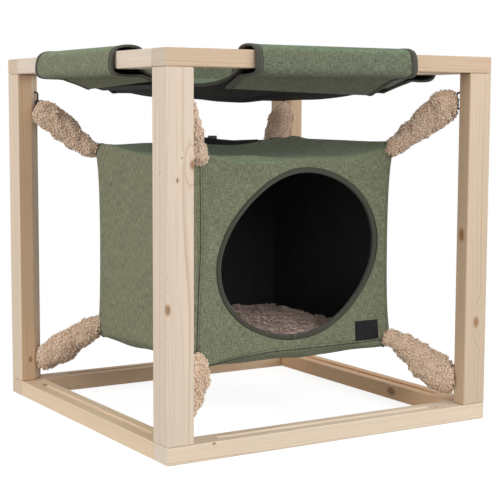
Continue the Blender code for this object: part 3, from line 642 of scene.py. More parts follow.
def pine(name, grain_axis, pith, knots, tint, end_tint, side_painted_light):
    """Planed pine: growth rings round a pith line outside the piece, fibres along it, and knots.

    grain_axis is 0, 1 or 2; pith is a point on the tree's middle line; a knot is (place, radius)."""
    nodes = Surface(name, 0.55, specular=0.3)

    def grain(along, across=1.0):
        return tuple(along if i == grain_axis else across for i in range(3))

    place = nodes.objects()
    lengthwise = grain(0.07)
    drift = nodes.noise(nodes.stretched(place, lengthwise), 0.045, 2.0, colour=True)
    drift = nodes.vector("SUBTRACT", drift, (0.5, 0.5, 0.5))
    moved = nodes.vector("ADD", place, nodes.vector("SCALE", drift, scale=0.016))
    flat = nodes.vector("MULTIPLY", nodes.vector("SUBTRACT", moved, pith), grain(0.0))
    radius = nodes.vector("LENGTH", flat)
    heart = 0.0
    for centre, size in knots:
        away = nodes.vector("SUBTRACT", place, centre)
        reach = nodes.vector("LENGTH", nodes.vector("MULTIPLY", away, grain(0.6)))
        parted = nodes.vector("LENGTH", nodes.vector("MULTIPLY", away, grain(0.32)))
        radius = nodes.math("ADD", radius, nodes.remap(parted, size * 2.8, 0.0, 0.0, size * 1.5))
        heart = nodes.math("MAXIMUM", heart, nodes.remap(reach, size * 1.15, size * 0.35))
    wander = nodes.noise(nodes.stretched(place, lengthwise, (7, 3, 1)), 0.02, 1.0)
    turns = nodes.math("DIVIDE", radius, RING)
    growth = nodes.new("ShaderNodeTexNoise", Scale=1.0, Detail=1.0)
    growth.noise_dimensions = "1D"
    nodes.put(growth, "W", nodes.math("MULTIPLY", turns, 0.22))
    turns = nodes.math("ADD", turns, nodes.math("MULTIPLY", growth.outputs["Fac"], 4.0))
    turns = nodes.math("ADD", turns, nodes.math("MULTIPLY", wander, 1.2))
    shades = ((0.0, 0.10), (0.50, 0.0), (0.86, 0.85), (0.95, 0.9), (1.0, 0.10))
    late = nodes.ramp(nodes.math("FRACT", turns), *shades)
    single = nodes.new("ShaderNodeTexWhiteNoise")
    single.noise_dimensions = "1D"
    nodes.put(single, "W", nodes.math("FLOOR", turns))
    dense = nodes.math("POWER", single.outputs["Value"], 1.7)
    dense = nodes.math("MULTIPLY_ADD", dense, 0.85, 0.15)
    strength = nodes.remap(nodes.noise(nodes.stretched(place, lengthwise), 0.03, 1.0), 0.3, 0.7, 0.45, 1.0)
    late = nodes.math("MULTIPLY", nodes.math("MULTIPLY", late, dense), strength)
    fibre = nodes.noise(nodes.stretched(place, grain(0.012)), 0.0011, 3.0, 0.6)
    patch = nodes.noise(nodes.stretched(place, lengthwise, (1, 9, 4)), 0.09, 2.0)
    pale, dark = (tuple(a * b for a, b in zip(wood, tint)) for wood in (PALE_WOOD, LATE_WOOD))
    colour = nodes.mix(late, pale, dark)
    colour = nodes.mix(1.0, colour, nodes.ramp(fibre, (0.3, 0.93), (0.7, 1.04)), "MULTIPLY")
    colour = nodes.mix(1.0, colour, nodes.ramp(patch, (0.3, 0.96), (0.7, 1.03)), "MULTIPLY")
    end = nodes.math("ABSOLUTE", nodes.facing(grain(1.0, 0.0)))
    colour = nodes.tinted(nodes.remap(end, 0.6, 0.9), colour, end_tint)
    if knots:
        rings = nodes.ramp(nodes.noise(place, 0.0015, 2.0), (0.3, KNOT_WOOD), (0.8, KNOT_LIGHT))
        colour = nodes.mix(heart, colour, rings)
    # Painted light and shade on the faces that look along X
    aside = nodes.math("ABSOLUTE", nodes.facing((1.0, 0.0, 0.0)))
    nodes.colour(nodes.tinted(nodes.remap(aside, 0.4, 0.6), colour, side_painted_light))
    nodes.rough(nodes.remap(fibre, 0.2, 0.8, 0.50, 0.64))
    nodes.bump(nodes.math("SUBTRACT", fibre, nodes.math("MULTIPLY", late, 0.4)), 0.00035, 0.5)
    return nodes.material


# The same green cloth four times over. The first is plain. The second, for the cube's faces that look along
# X, is lighter and warmer: painted light; it also weighs its threads otherwise. The third, for the bed and
# the front and back sleeves, is darker: painted shade. The fourth, for the left and right sleeves, is a
# little lighter: painted light.
GREEN = heather("green_heather", (0.092, 0.102, 0.061), (0.182, 0.198, 0.124), (0.318, 0.338, 0.226))
GREEN_SIDE_PAINTED_LIGHT = heather(
    "green_heather_side_painted_light", (0.108, 0.111, 0.063), (0.214, 0.218, 0.134), (0.355, 0.355, 0.235), 0.60, 0.12
)
GREEN_TOP_PAINTED_SHADE = heather(
    "green_heather_top_painted_shade", (0.068, 0.081, 0.049), (0.139, 0.161, 0.103), (0.248, 0.275, 0.186)
)
GREEN_FLAP_PAINTED_LIGHT = heather(
    "green_heather_flap_painted_light", (0.092, 0.101, 0.059), (0.189, 0.201, 0.123), (0.336, 0.341, 0.222)
)
BLACK = plain_cloth("black_lining", (0.0140, 0.0140, 0.0150), (0.0290, 0.0290, 0.0300))
# Lighter than the lining, for the ridges in its back left corner: painted highlight
LINING_PAINTED_HIGHLIGHT = plain_cloth("black_lining_painted_highlight", (0.028, 0.028, 0.029), (0.048, 0.048, 0.050))
UNDER = plain_cloth("black_underside", (0.006, 0.0057, 0.0055), (0.013, 0.012, 0.0115), sheen=0.04)
LINING = plain_cloth("dark_lining", (0.022, 0.014, 0.011), (0.040, 0.027, 0.021))
# Dark seam cloth, also used for the painted shadow line round the entrance's binding
SEAM_AND_PAINTED_SHADOW = plain_cloth("dark_seam_and_painted_shadow", (0.018, 0.020, 0.013), (0.034, 0.036, 0.024), 0.0005)
PATCH = plain_cloth("black_patch", (0.006, 0.006, 0.007), (0.014, 0.014, 0.015), 0.0006, 0.7, 0.04)
WEBBING = plain_cloth("black_webbing", (0.012, 0.012, 0.012), (0.030, 0.030, 0.030), 0.0012)
BINDING = tape_cloth("olive_binding", (0.042, 0.041, 0.031), (0.105, 0.102, 0.080))
THREAD = plain_cloth("olive_thread", (0.030, 0.033, 0.022), (0.060, 0.064, 0.045), 0.0005)
BEIGE = plush("beige_plush", (0.700, 0.480, 0.330), (0.890, 0.690, 0.520), (0.975, 0.840, 0.695), 0.012)
TAUPE = plush("taupe_plush", (0.370, 0.270, 0.222), (0.540, 0.392, 0.328), (0.780, 0.605, 0.520), 0.016)
ZIP = plain_cloth("zip_tape", (0.012, 0.012, 0.012), (0.030, 0.029, 0.027), 0.0007)
NYLON = metal("zip_chain", (0.020, 0.020, 0.020), 0.35, 0.0)
DARK_METAL = metal("dark_metal", (0.030, 0.030, 0.030), 0.45, 0.4)
BLACK_STEEL = metal("black_steel", (0.040, 0.028, 0.022), 0.45, 0.2)
STEEL = metal("steel", (0.50, 0.50, 0.51), 0.3)


# Wood and metal of the frame's own solids. A knot is its place and its radius

KNOTS = {
    "post_front_left": (
        ((-0.249, -0.249, 0.190), 0.0052),
        ((-0.2356, -0.250, 0.344), 0.0024),
        ((-0.2150, -0.250, 0.362), 0.0046),
        ((-0.2500, -0.2333, 0.3526), 0.0014),
        ((-0.2294, -0.250, 0.3706), 0.0012),
    ),
    "post_front_right": (
        ((0.2110, -0.2495, 0.4592), 0.0024),
        ((0.2130, -0.2382, 0.2580), 0.0070),
        ((0.2322, -0.250, 0.137), 0.0058),
    ),
    "post_back_right": (((0.2173, 0.213, 0.4412), 0.0024),),
    "post_back_left": (((-0.2356, 0.213, 0.054), 0.0036), ((-0.2239, 0.213, 0.1535), 0.0026)),
    "bottom_rail_right": (((0.213, -0.087, 0.012), 0.0075), ((0.2210, 0.0050, 0.022), 0.0022)),
    "bottom_rail_left": (((-0.213, 0.1446, 0.020), 0.0022), ((-0.2293, 0.1738, 0.022), 0.0045)),
    "bottom_rail_front": (((-0.185, -0.250, 0.020), 0.0020), ((0.1743, -0.2377, 0.022), 0.0025)),
}
# Each piece's tint: partly its board's own tone, partly painted light and shade, most of all on the front
# right and back left posts
WOOD_TONE_AND_PAINTED_LIGHT = {
    "post_front_left": (0.99, 0.99, 1.02),
    "post_front_right": (0.86, 0.82, 0.76),
    "post_back_left": (0.98, 0.82, 0.68),
    "post_back_right": (1.00, 0.88, 0.75),
    "bottom_rail_front": (1.08, 1.08, 1.06),
    "bottom_rail_left": (1.12, 1.06, 0.94),
    "bottom_rail_right": (1.22, 0.97, 0.76),
    "bottom_rail_back": (1.02, 0.88, 0.75),
    "top_rail_front": (0.82, 0.74, 0.66),
    "top_rail_left": (1.02, 1.04, 1.10),
    "top_rail_right": (1.00, 0.96, 0.92),
    "top_rail_back": (1.00, 0.96, 0.92),
}
# How the faces that look along X differ from the rest: painted light and shade. The front right post's faces
# along X are shaded darker; the back left post's are lifted back from the painted shade of its tint, which
# its other faces keep.
SIDE_PAINTED_LIGHT = {"post_front_right": (0.95, 0.88, 0.83), "post_back_left": (1.05, 1.22, 1.45)}
END_TINT = {
    "top_rail_front": (1.02, 1.12, 1.28),
    "bottom_rail_back": (0.94, 1.04, 1.18),
    "bottom_rail_front": (0.95, 0.99, 1.06),
}


def wear(node, material):
    mesh = frame["nodes"][node].data
    mesh.materials.clear()
    mesh.materials.append(material)


def paint_frame():
    """Pine for posts and rails, each sawn with its pith somewhere else, and metal for the fittings."""

    def paint(name, axis, pith):
        knots, side = KNOTS.get(name, ()), SIDE_PAINTED_LIGHT.get(name, (1.0, 1.0, 1.0))
        end = END_TINT.get(name, (0.90, 0.90, 0.92))
        wear(name, pine(name, axis, pith, knots, WOOD_TONE_AND_PAINTED_LIGHT[name], end, side))

    for index, (corner, (sx, sy)) in enumerate(CORNERS.items()):
        paint(f"post_{corner}", 2, (sx * 0.2000 + 0.004 * index, sy * 0.2010 - 0.005 * index, 0))
    for level, height in (("top", 0.489), ("bottom", 0.011)):
        for index, (side, (sx, sy)) in enumerate(SIDES.items()):
            pith = (sx * 0.2315 + 0.014 * index, sy * 0.2315 - 0.010 * index, height - 0.060)
            paint(f"{level}_rail_{side}", 0 if sy else 1, pith)
    for node in frame["nodes"]:
        if node.startswith("post_screw"):
            wear(node, STEEL)
        elif node.startswith("saddle"):
            wear(node, BLACK_STEEL)
    for node in ("zip_slider", "zip_pull"):
        wear(node, DARK_METAL)


# Cube


def near_ends(z):
    """How strongly the top and the floor act at a height from -1 to 1."""
    return (np.clip(1 + z, 0, None) / 2) ** 2, (np.clip(1 - z, 0, None) / 2) ** 2


def soft(p):
    """Where points of the plain box lie on the soft cube, as in the solids."""
    x, y, z = np.moveaxis((p - MIDDLE) / HALF, -1, 0)
    bow = WALL_BOW * (1 - z * z)
    edge_sag = TOP_SAG_FRONT + (TOP_SAG_BACK - TOP_SAG_FRONT) * (1 + y) / 2
    top_sag = (1 - x * x) * (edge_sag + TOP_SAG_MIDDLE * (1 - y * y))
    floor_sag = FLOOR_ARCH * (1 - x * x * y * y) - FLOOR_SAG * (1 - x * x) * (1 - y * y)
    near_top, near_floor = near_ends(z)
    return p + places(-bow * x, -bow * y, near_floor * floor_sag - near_top * top_sag)


def plain_of(world_x, world_z):
    """The plain box's point on the front whose soft place has this x and z."""
    p = places(world_x, -HALF[1], world_z)
    for _ in range(12):
        s = soft(p)
        p[..., 0] += world_x - s[..., 0]
        p[..., 2] += world_z - s[..., 2]
    return p


def dips(p):
    """How far the sewn cloth hangs below the plain sag."""
    x, y, z = p[..., 0], p[..., 1], p[..., 2] - CUBE_MIDDLE
    near_top, near_floor = near_ends(z / HALF[2])
    left = np.polyval(LEFT_DIP, np.clip(y / HALF[1], -1, 1)) * smoothstep(-x, 0.060, 0.150)
    at_zip = ZIP_DIP * np.exp(-(((x - 0.085) / 0.055) ** 2)) * smoothstep(y, 0.02, 0.14)
    at_front = (x / HALF[0]) ** 2 - np.clip(x / HALF[0], -1, 1) ** 6
    at_front = FRONT_DIP * at_front * smoothstep(-y, 0.03, 0.15) * smoothstep(z, 0.06, 0.14)
    low = FLOOR_DIP * np.exp(-(((y - 0.075) / 0.045) ** 2)) * smoothstep(-x, 0.09, 0.15)
    return near_top * (left + at_zip) + at_front + near_floor * low


def plain_corner(level, corner):
    sx, sy = CORNERS[corner]
    up = 1 if level == "top" else -1
    return np.array([sx * HALF[0], sy * HALF[1], CUBE_MIDDLE + up * HALF[2]])


def arm_axis(level, corner):
    """The corner's tip on the stretched cover and the direction of its arm."""
    sx, sy = CORNERS[corner]
    tip = plain_corner(level, corner) + CORNER_PULL[level, corner]
    tip[0] += RIGHT_STRETCH * (sx > 0)
    tip[2] -= float(dips(plain_corner(level, corner)))
    saddle = np.array([sx * SADDLE_MIDDLE, sy * SADDLE_MIDDLE, SADDLE_HEIGHT[level]])
    return tip, unit(saddle - tip)


def drawn_out(p, placed):
    """Moves places on the cover by the pull of the arms at its corners."""
    for (level, corner), pull in CORNER_PULL.items():
        away = np.linalg.norm(p - plain_corner(level, corner), axis=-1)
        placed = placed + np.exp(-away / PULL_REACH)[..., None] * pull
    return placed


def cut_corners(points, depth):
    """Presses what lies beyond each corner's cut onto the cut."""
    for level in SADDLE_HEIGHT:
        for corner in CORNERS:
            tip, direction = arm_axis(level, corner)
            beyond = np.clip((points - tip) @ direction + depth, 0, None)
            points = points - beyond[..., None] * direction
    return points


def corner_folds(p):
    """Creases that run from each corner into the faces, where the arms pull."""
    away = np.abs(np.abs(p - MIDDLE) - HALF)
    away = np.sort(away, axis=-1)
    a, b = away[..., 2], away[..., 1]
    reach = np.hypot(a, b)
    angle = np.arctan2(b, a)
    near = np.exp(-reach / 0.040) * smoothstep(reach, 0.004, 0.022)
    return near * np.cos(7 * (math.pi / 4 - angle))


def edge_round(local):
    """Radius of the cube's edges: tight at the seams, broad along the middle of top and floor."""
    height = local[..., 2] / HALF[2]
    inwards = 1 - np.abs(local[..., :2]) / HALF[:2]
    clear = smoothstep(np.max(inwards, axis=-1), 0.05, 0.45)
    right = smoothstep(local[..., 0] / HALF[0], 0.0, 0.3)
    clear_top = clear * (1 - right) + smoothstep(inwards[..., 0], 0.05, 0.45) * right
    fade = 1 - smoothstep(local[..., 1] / HALF[1], -0.3, 0.9)
    top = (TOP_EDGE_ROUND - EDGE_ROUND) * smoothstep(height, 0.72, 1.0) * fade
    left = smoothstep(-local[..., 0] / HALF[0], 0.6, 1.0)
    floor = (FLOOR_EDGE_ROUND + 0.003 * left - EDGE_ROUND) * smoothstep(-height, 0.80, 1.0)
    return EDGE_ROUND + top * clear_top + floor * clear


def rounded_box(local, half, r):
    """Places on a box whose edges have the given radius, and which way is out there."""
    core = half - r[..., None]
    middle = np.clip(local, -core, core)
    out = unit(local - middle)
    return middle + out * r[..., None] + MIDDLE, out


def slackened(placed, p, x):
    """Adds to soft places the stretch of the cube's right half, and the dips at the plain points p."""
    placed[..., 0] += RIGHT_STRETCH * smoothstep(x, 0.0, HALF[0])
    placed[..., 2] -= dips(p)
    return placed


def cover(p):
    """The outer cloth: rounded edges, creases and slack, then the cube's soft shape."""
    local = p - MIDDLE
    rounded, out = rounded_box(local, HALF, edge_round(local))
    slack = 0.0007 * waves(p, 0.110, 3) + 0.00028 * waves(p, 0.045, 4)
    slack = slack + 0.0016 * corner_folds(p)
    edge = np.sort(HALF - np.abs(local), axis=-1)[..., 1]
    upright = np.max(HALF[:2] - np.abs(local[..., :2]), axis=-1)
    seam = -0.0009 * np.exp(-(((upright - SEAM_INSET) / 0.0009) ** 2)) * (local[..., 2] < 0.140)
    slack = slack * smoothstep(edge, 0.0, 0.02) + seam
    away = (rounded[..., :2] - CREST) / [0.030, 0.024]
    crest = CREST_HEIGHT * np.exp(-(away**2).sum(-1)) * smoothstep(local[..., 2], 0.10, 0.14)
    placed = slackened(soft(rounded) + out * slack[..., None], rounded, p[..., 0])
    placed[..., 2] += crest
    return cut_corners(drawn_out(p, placed), COVER_CUT)


def outside_cover(q):
    """How far points lie outside the cover, its corners still whole; negative is inside."""
    p = q.copy()
    for _ in range(8):
        p = p + q - slackened(drawn_out(p, soft(p)), p, p[..., 0])
    local = p - MIDDLE
    r = edge_round(local)
    core = HALF - r[..., None]
    return np.linalg.norm(local - np.clip(local, -core, core), axis=-1) - r


def foot_ring(level, corner, angles):
    """The outline of a cut corner: its middle, directions in the cut's plane and reach along each."""
    tip, direction = arm_axis(level, corner)
    middle = tip - direction * COVER_CUT
    side = unit(np.cross(direction, [0, 0, 1.0]))
    up = np.cross(side, direction)
    rays = np.outer(np.cos(angles), side) + np.outer(np.sin(angles), up)
    near, far = np.zeros(len(angles)), np.full(len(angles), 0.045)
    for _ in range(18):
        half_way = (near + far) / 2
        out = outside_cover(middle + rays * half_way[:, None]) > 0
        near, far = np.where(out, near, half_way), np.where(out, half_way, far)
    reach = (near + np.roll(near, 1) + np.roll(near, -1)) / 3
    return middle, rays, np.minimum(reach, 0.0185)


def lining(p):
    """The inner cloth, a board's thickness inside the cover."""
    local = p - MIDDLE
    r = np.maximum(edge_round(local * HALF / (HALF - WALL)) - WALL, 0.003)
    rounded, out = rounded_box(local, HALF - WALL, r)
    slack = 0.0005 * waves(p, 0.07, 8)
    placed = slackened(soft(rounded) + out * slack[..., None], rounded, p[..., 0])
    return cut_corners(placed, CORNER_CUT + 0.004)


def stations(half, steps):
    """Places from one edge to the other, close together near both."""
    edge = np.array([0.0, 0.0008, 0.0018, 0.0030, 0.0042, 0.0054, 0.0072, 0.0095, 0.0130])
    middle = np.linspace(-half + 0.018, half - 0.018, steps)
    return np.concatenate([-half + edge, middle, (half - edge)[::-1]])


def face_grid(axis, side, half, steps):
    """A grid of points on one face of a box, with its cloth coordinates."""
    first, second = (stations(half[i], steps) for i in range(3) if i != axis)
    flat = np.stack(np.meshgrid(first, second, indexing="ij"), -1)
    points = np.insert(flat, axis, side * half[axis], axis=-1) + MIDDLE
    return points, flat


def oval_at(angles, grow):
    """World x and z of the entrance's oval, sewn a little out of true, grown outwards."""
    size = ENTRANCE + grow
    u, w = np.cos(angles - ENTRANCE_TILT), np.sin(angles - ENTRANCE_TILT)
    reach = 1 / np.sqrt((u / size[0]) ** 2 + (w / size[1]) ** 2)
    reach = reach * (1 - 0.0042 * np.cos(3 * angles) - 0.0082 * np.sin(3 * angles))
    reach = reach * (1 + 0.0096 * np.cos(4 * angles) + 0.0074 * np.sin(4 * angles))
    return ENTRANCE_CENTRE[0] + reach * np.cos(angles), ENTRANCE_CENTRE[1] + reach * np.sin(angles)


def front_grid(half, steps, rings, grow):
    """The front face from its edges to the entrance's oval."""
    xs, zs = stations(half[0], steps), stations(half[2], steps) + CUBE_MIDDLE
    low, high = CUBE_MIDDLE - half[2], CUBE_MIDDLE + half[2]
    border = [(x, low) for x in xs[:-1]] + [(half[0], z) for z in zs[:-1]]
    border += [(x, high) for x in xs[:0:-1]] + [(-half[0], z) for z in zs[::-1]]
    border = np.array(border)
    outer = places(border[:, 0], -half[1], border[:, 1])
    seen = soft(outer)
    angles = np.arctan2(seen[:, 2] - ENTRANCE_CENTRE[1], seen[:, 0] - ENTRANCE_CENTRE[0])
    inner = plain_of(*oval_at(angles, grow))
    inner[..., 1] = -half[1]
    t = np.sin(np.linspace(0, math.pi / 2, rings))[:, None, None]
    points = inner * (1 - t) + outer * t
    return points, points[..., [0, 2]]


def add_cube_cover():
    """The sewn cover and its lining in one piece, each open at the entrance."""
    sheet = Sheet()
    inner_half = HALF - WALL
    for axis in range(3):
        for side in (-1, 1):
            flip = (side > 0) == (axis != 1)
            if (axis, side) == (1, -1):
                points, uv = front_grid(HALF, 46, 30, 0.0040)
                sheet.grid(cover(points), uv, 0, flip=True)
                points, uv = front_grid(inner_half, 30, 16, 0.0040)
                sheet.grid(lining(points), uv, 1)
                continue
            points, uv = face_grid(axis, side, HALF, 46)
            # Faces that look along X take the green with painted light
            sheet.grid(cover(points), uv, 2 if axis == 0 else 0, flip=not flip)
            points, uv = face_grid(axis, side, inner_half, 30)
            sheet.grid(lining(points), uv, 1, flip=flip)
    nodes = [f"cube_{side}" for side in (*SIDES, "top", "bottom")]
    piece = sheet.make("cube_cover", [GREEN, BLACK, GREEN_SIDE_PAINTED_LIGHT], nodes, "cube", "green_cloth")


def cover_line(points, lift):
    """Places on the cover along plain points, with the outward normals there."""
    local = points - MIDDLE
    axis = np.argmax(np.abs(local) / HALF, axis=-1)
    normal = np.zeros_like(points)
    rows = np.arange(len(points))
    normal[rows, axis] = np.sign(local[rows, axis])
    return cover(points) + normal * lift, normal


def edge_lines(inset, clear):
    """Plain points of lines beside the cube's upright edges and above its floor's, but at the left."""
    spread = np.linspace(-1, 1, 120)
    lines = []
    for sx, sy in CORNERS.values():
        astray = -0.0020 + 0.0053 * smoothstep(spread, -0.85, 0.20) if (sx, sy) == (-1, -1) else 0.0
        z = CUBE_MIDDLE + spread * (HALF[2] - clear)
        lines.append(places(sx * (HALF[0] - inset - astray), sy * HALF[1], z))
    low = CUBE_MIDDLE - HALF[2] + inset
    run = spread * (HALF[0] - clear)
    rise = 0.004 * (1 - spread**4)
    lines.append(places(run, -HALF[1], low + 0.0085 * smoothstep(run, -0.130, -0.035)))
    lines.append(places(run, HALF[1], low + rise))
    lines.append(places(HALF[0], spread * (HALF[1] - clear), low + rise))
    return lines


def add_cover_seams():
    """The dark line of each sewn edge, and the stitches that run beside it."""
    seams, stitches = Sheet(), Sheet()
    for line in edge_lines(SEAM_INSET, 0.016):
        placed, normal = cover_line(line, 0.0)
        across = unit(np.cross(normal, tangents_of(placed)))
        band(seams, placed, across, normal, round_profile(0.0006, 6))
    for line in edge_lines(0.0062, 0.024):
        add_stitches(stitches, *cover_line(line, 0.0001))
    seams.make("cube_seams", [SEAM_AND_PAINTED_SHADOW], None, "cube", "binding")
    stitches.make("cube_stitching", [THREAD], None, "cube", "binding", weld=0.0)


def add_lining_piping():
    """Two soft ridges of the lining that run up the inner back left corner, a little lighter than the
    lining: painted highlight.
    """
    sheet = Sheet()
    count = 60
    share = np.linspace(0, 1, count)
    z = CUBE_MIDDLE - HALF[2] + 0.020 + share * (2 * HALF[2] - 0.040)
    wide = 0.0045 + (0.0015 + 0.0075 * share) * 1.3
    for inset, along, radius in ((0.0022, 0.0025, 0.0019), (0.0008, wide, 0.0016)):
        line = soft(places(inset + WALL - HALF[0], HALF[1] - WALL - along, z))
        across, normal = repeated((1, 0, 0), count), repeated((0, 1, 0), count)
        band(sheet, line, across, normal, round_profile(radius, 9))
    sheet.make("lining_piping", [LINING_PAINTED_HIGHLIGHT], None, "cube", "black_cloth")


def entrance_path():
    """The edge of the entrance on the cover, and the direction away from the hole."""
    x, z = oval_at(np.linspace(0, 2 * math.pi, 180, endpoint=False), 0.0)
    placed = cover(plain_of(x, z))
    path = places(x, placed[:, 1], z)
    return path, unit(np.cross([0.0, 1.0, 0.0], tangents_of(path, closed=True)))


def add_entrance_binding():
    """Folded tape round the entrance: a flat flange outside and a rolled lip at the hole."""
    path, across = entrance_path()
    normal = repeated((0, -1, 0), len(path))
    profile = [
        (0.0060, 0.0006), (0.0052, 0.0013), (0.0042, 0.0014), (0.0034, 0.0007), (0.0028, 0.0014),
        (0.0018, 0.0016), (0.0006, 0.0009), (0.0000, -0.0004), (-0.0003, -0.0022), (0.0003, -0.0042),
        (0.0018, -0.0056), (0.0040, -0.0060), (0.0054, -0.0058), (0.0064, -0.0046), (0.0066, -0.0012),
    ]
    sheet = Sheet()
    band(sheet, path, across, normal, profile, closed=True)
    sheet.make("entrance_binding_tape", [BINDING], "entrance_binding", "cube", "binding")
    thread = Sheet()
    line = path + across * 0.0034 + normal * 0.0009
    line = np.vstack([line, line[:1]])
    add_stitches(thread, line, np.vstack([normal, normal[:1]]), 0.0032, 0.0023)
    thread.make("entrance_stitching", [THREAD], None, "cube", "binding", weld=0.0)
    # A dark line of painted shadow along the binding's outer edge, in the seam cloth
    rim = Sheet()
    seam = path + across * 0.0065 + normal * 0.0003
    band(rim, seam, across, normal, round_profile(0.0007, 6), closed=True)
    rim.make("entrance_seam", [SEAM_AND_PAINTED_SHADOW], None, "cube", "binding")
    joint = Sheet()
    at = int(len(path) * JOIN_SHARE)
    span = [at - 1, at, at + 1]
    lifted = path[span] + across[span] * -0.0004 + normal[span] * 0.0002
    band(joint, lifted, across[span], normal[span], profile)
    joint.make("entrance_binding_join", [BINDING], None, "cube", "binding")


def add_patch():
    """The bare sewn patch: a woven rectangle with a turned edge and a line of stitches."""
    sheet = Sheet()
    u, v = np.meshgrid(np.linspace(-0.5, 0.5, 25), np.linspace(-0.5, 0.5, 19), indexing="ij")
    x = PATCH_CENTRE[0] + u * PATCH_SIZE[0]
    z = PATCH_CENTRE[1] + v * PATCH_SIZE[1]
    base = cover(plain_of(x, z))
    edge = np.minimum(0.5 - np.abs(u), 0.5 - np.abs(v))
    rise = 0.0009 - 0.0006 * (edge < 0.001)
    top = base - places(0, rise, 0)
    base = base + [0, 0.0003, 0]
    sheet.grid(top, places(x, z))
    sheet.grid(base, places(x, z), flip=True)
    for wall in zip(rims_of(top), rims_of(base)):
        sheet.grid(np.stack(wall), flip=True)
    sheet.make("bare_patch", [PATCH], "cube_patch", "cube", "black_cloth")
    thread = Sheet()
    half = PATCH_SIZE / 2 - 0.0016
    corners = np.array([(-1, -1), (1, -1), (1, 1), (-1, 1), (-1, -1)]) * half
    for first, second in zip(corners, corners[1:]):
        line = first + np.linspace(0, 1, 12)[:, None] * (second - first)
        place = cover(plain_of(PATCH_CENTRE[0] + line[:, 0], PATCH_CENTRE[1] + line[:, 1]))
        normal = repeated((0, -1, 0), len(place))
        add_stitches(thread, place + normal * 0.0010, normal, 0.0026, 0.0018, 0.0002)
    thread.make("patch_stitching", [WEBBING], None, "cube", "black_cloth", weld=0.0)


# Plush


def add_tufts(sheet, roots, normals, seed, *, length, thick, curl, turns, strands, rings, sides, lean):
    """Curly locks on a surface: strands that share a root, a lean and a spiral, with round tips."""
    rng = np.random.default_rng(seed)
    clumps = len(roots)
    helper = np.where(np.abs(normals[:, 2:]) < 0.9, [[0.0, 0.0, 1.0]], [[1.0, 0.0, 0.0]])
    side = unit(np.cross(normals, helper))
    up = np.cross(normals, side)
    tilt_a = waves(roots, 0.016, seed + 1) * lean + rng.normal(0, 0.22, clumps)
    tilt_b = waves(roots, 0.016, seed + 2) * lean + rng.normal(0, 0.22, clumps)
    lengths = length * rng.uniform(0.75, 1.15, clumps)
    start = rng.uniform(0, 2 * math.pi, clumps)
    spin = turns * 2 * math.pi * rng.uniform(0.6, 1.3, clumps) * rng.choice([-1, 1], clumps)
    shade = rng.uniform(-0.14, 0.14, clumps)
    each = np.repeat(np.arange(clumps), strands)
    count = len(each)
    spread = thick * 0.9
    roots = roots[each] + side[each] * rng.normal(0, spread, (count, 1))
    roots = roots + up[each] * rng.normal(0, spread, (count, 1))
    normals, side, up = normals[each], side[each], up[each]
    tilt_a = tilt_a[each] + rng.normal(0, 0.12, count)
    tilt_b = tilt_b[each] + rng.normal(0, 0.12, count)
    lengths = lengths[each] * rng.uniform(0.85, 1.12, count)
    start = start[each] + rng.normal(0, 0.35, count)
    spin = spin[each] * rng.uniform(0.85, 1.15, count)
    axis = unit(normals + side * tilt_a[:, None] + up * tilt_b[:, None])
    s = np.linspace(0, 1, rings)
    angle = start[:, None] + spin[:, None] * s
    swing = curl * rng.uniform(0.6, 1.3, count)[:, None] * np.sin(math.pi * np.clip(s, 0, 0.8) * 0.62)
    middle = (
        roots[:, None]
        + axis[:, None] * (lengths[:, None] * (s * (1 - 0.25 * s)))[..., None]
        + side[:, None] * (swing * (np.cos(angle) - np.cos(start)[:, None]))[..., None]
        + up[:, None] * (swing * (np.sin(angle) - np.sin(start)[:, None]))[..., None]
    )
    along = unit(np.gradient(middle, axis=1))
    first = unit(np.cross(along, axis[:, None] + side[:, None] * 0.3))
    second = np.cross(along, first)
    taper = thick * np.interp(s, (0, 0.2, 0.4, 0.6, 0.8, 0.92, 1.0), (0.8, 0.9, 1.0, 1.08, 1.0, 0.7, 0.0))
    turn = np.arange(sides) * (2 * math.pi / sides)
    ring = first[:, :, None] * np.cos(turn)[:, None] + second[:, :, None] * np.sin(turn)[:, None]
    points = middle[:, :, None] + ring * taper[:, None, None]
    # tip runs from root to end; the plush paints shade by it near the roots
    tip = s[None, :, None] + shade[each][:, None, None]
    tip = np.broadcast_to(np.clip(tip, 0, 1), points.shape[:3])
    index = np.arange(rings * sides).reshape(rings, sides)
    right = np.roll(index, -1, axis=1)
    quads = np.stack([index[:-1], right[:-1], right[1:], index[1:]], -1).reshape(-1, 4)
    all_quads = (quads[None] + (np.arange(count) * rings * sides)[:, None, None]).reshape(-1, 4)
    flat = points.reshape(-1, 3)
    sheet.add(flat, all_quads, np.zeros((len(flat), 2)), 0, tip)


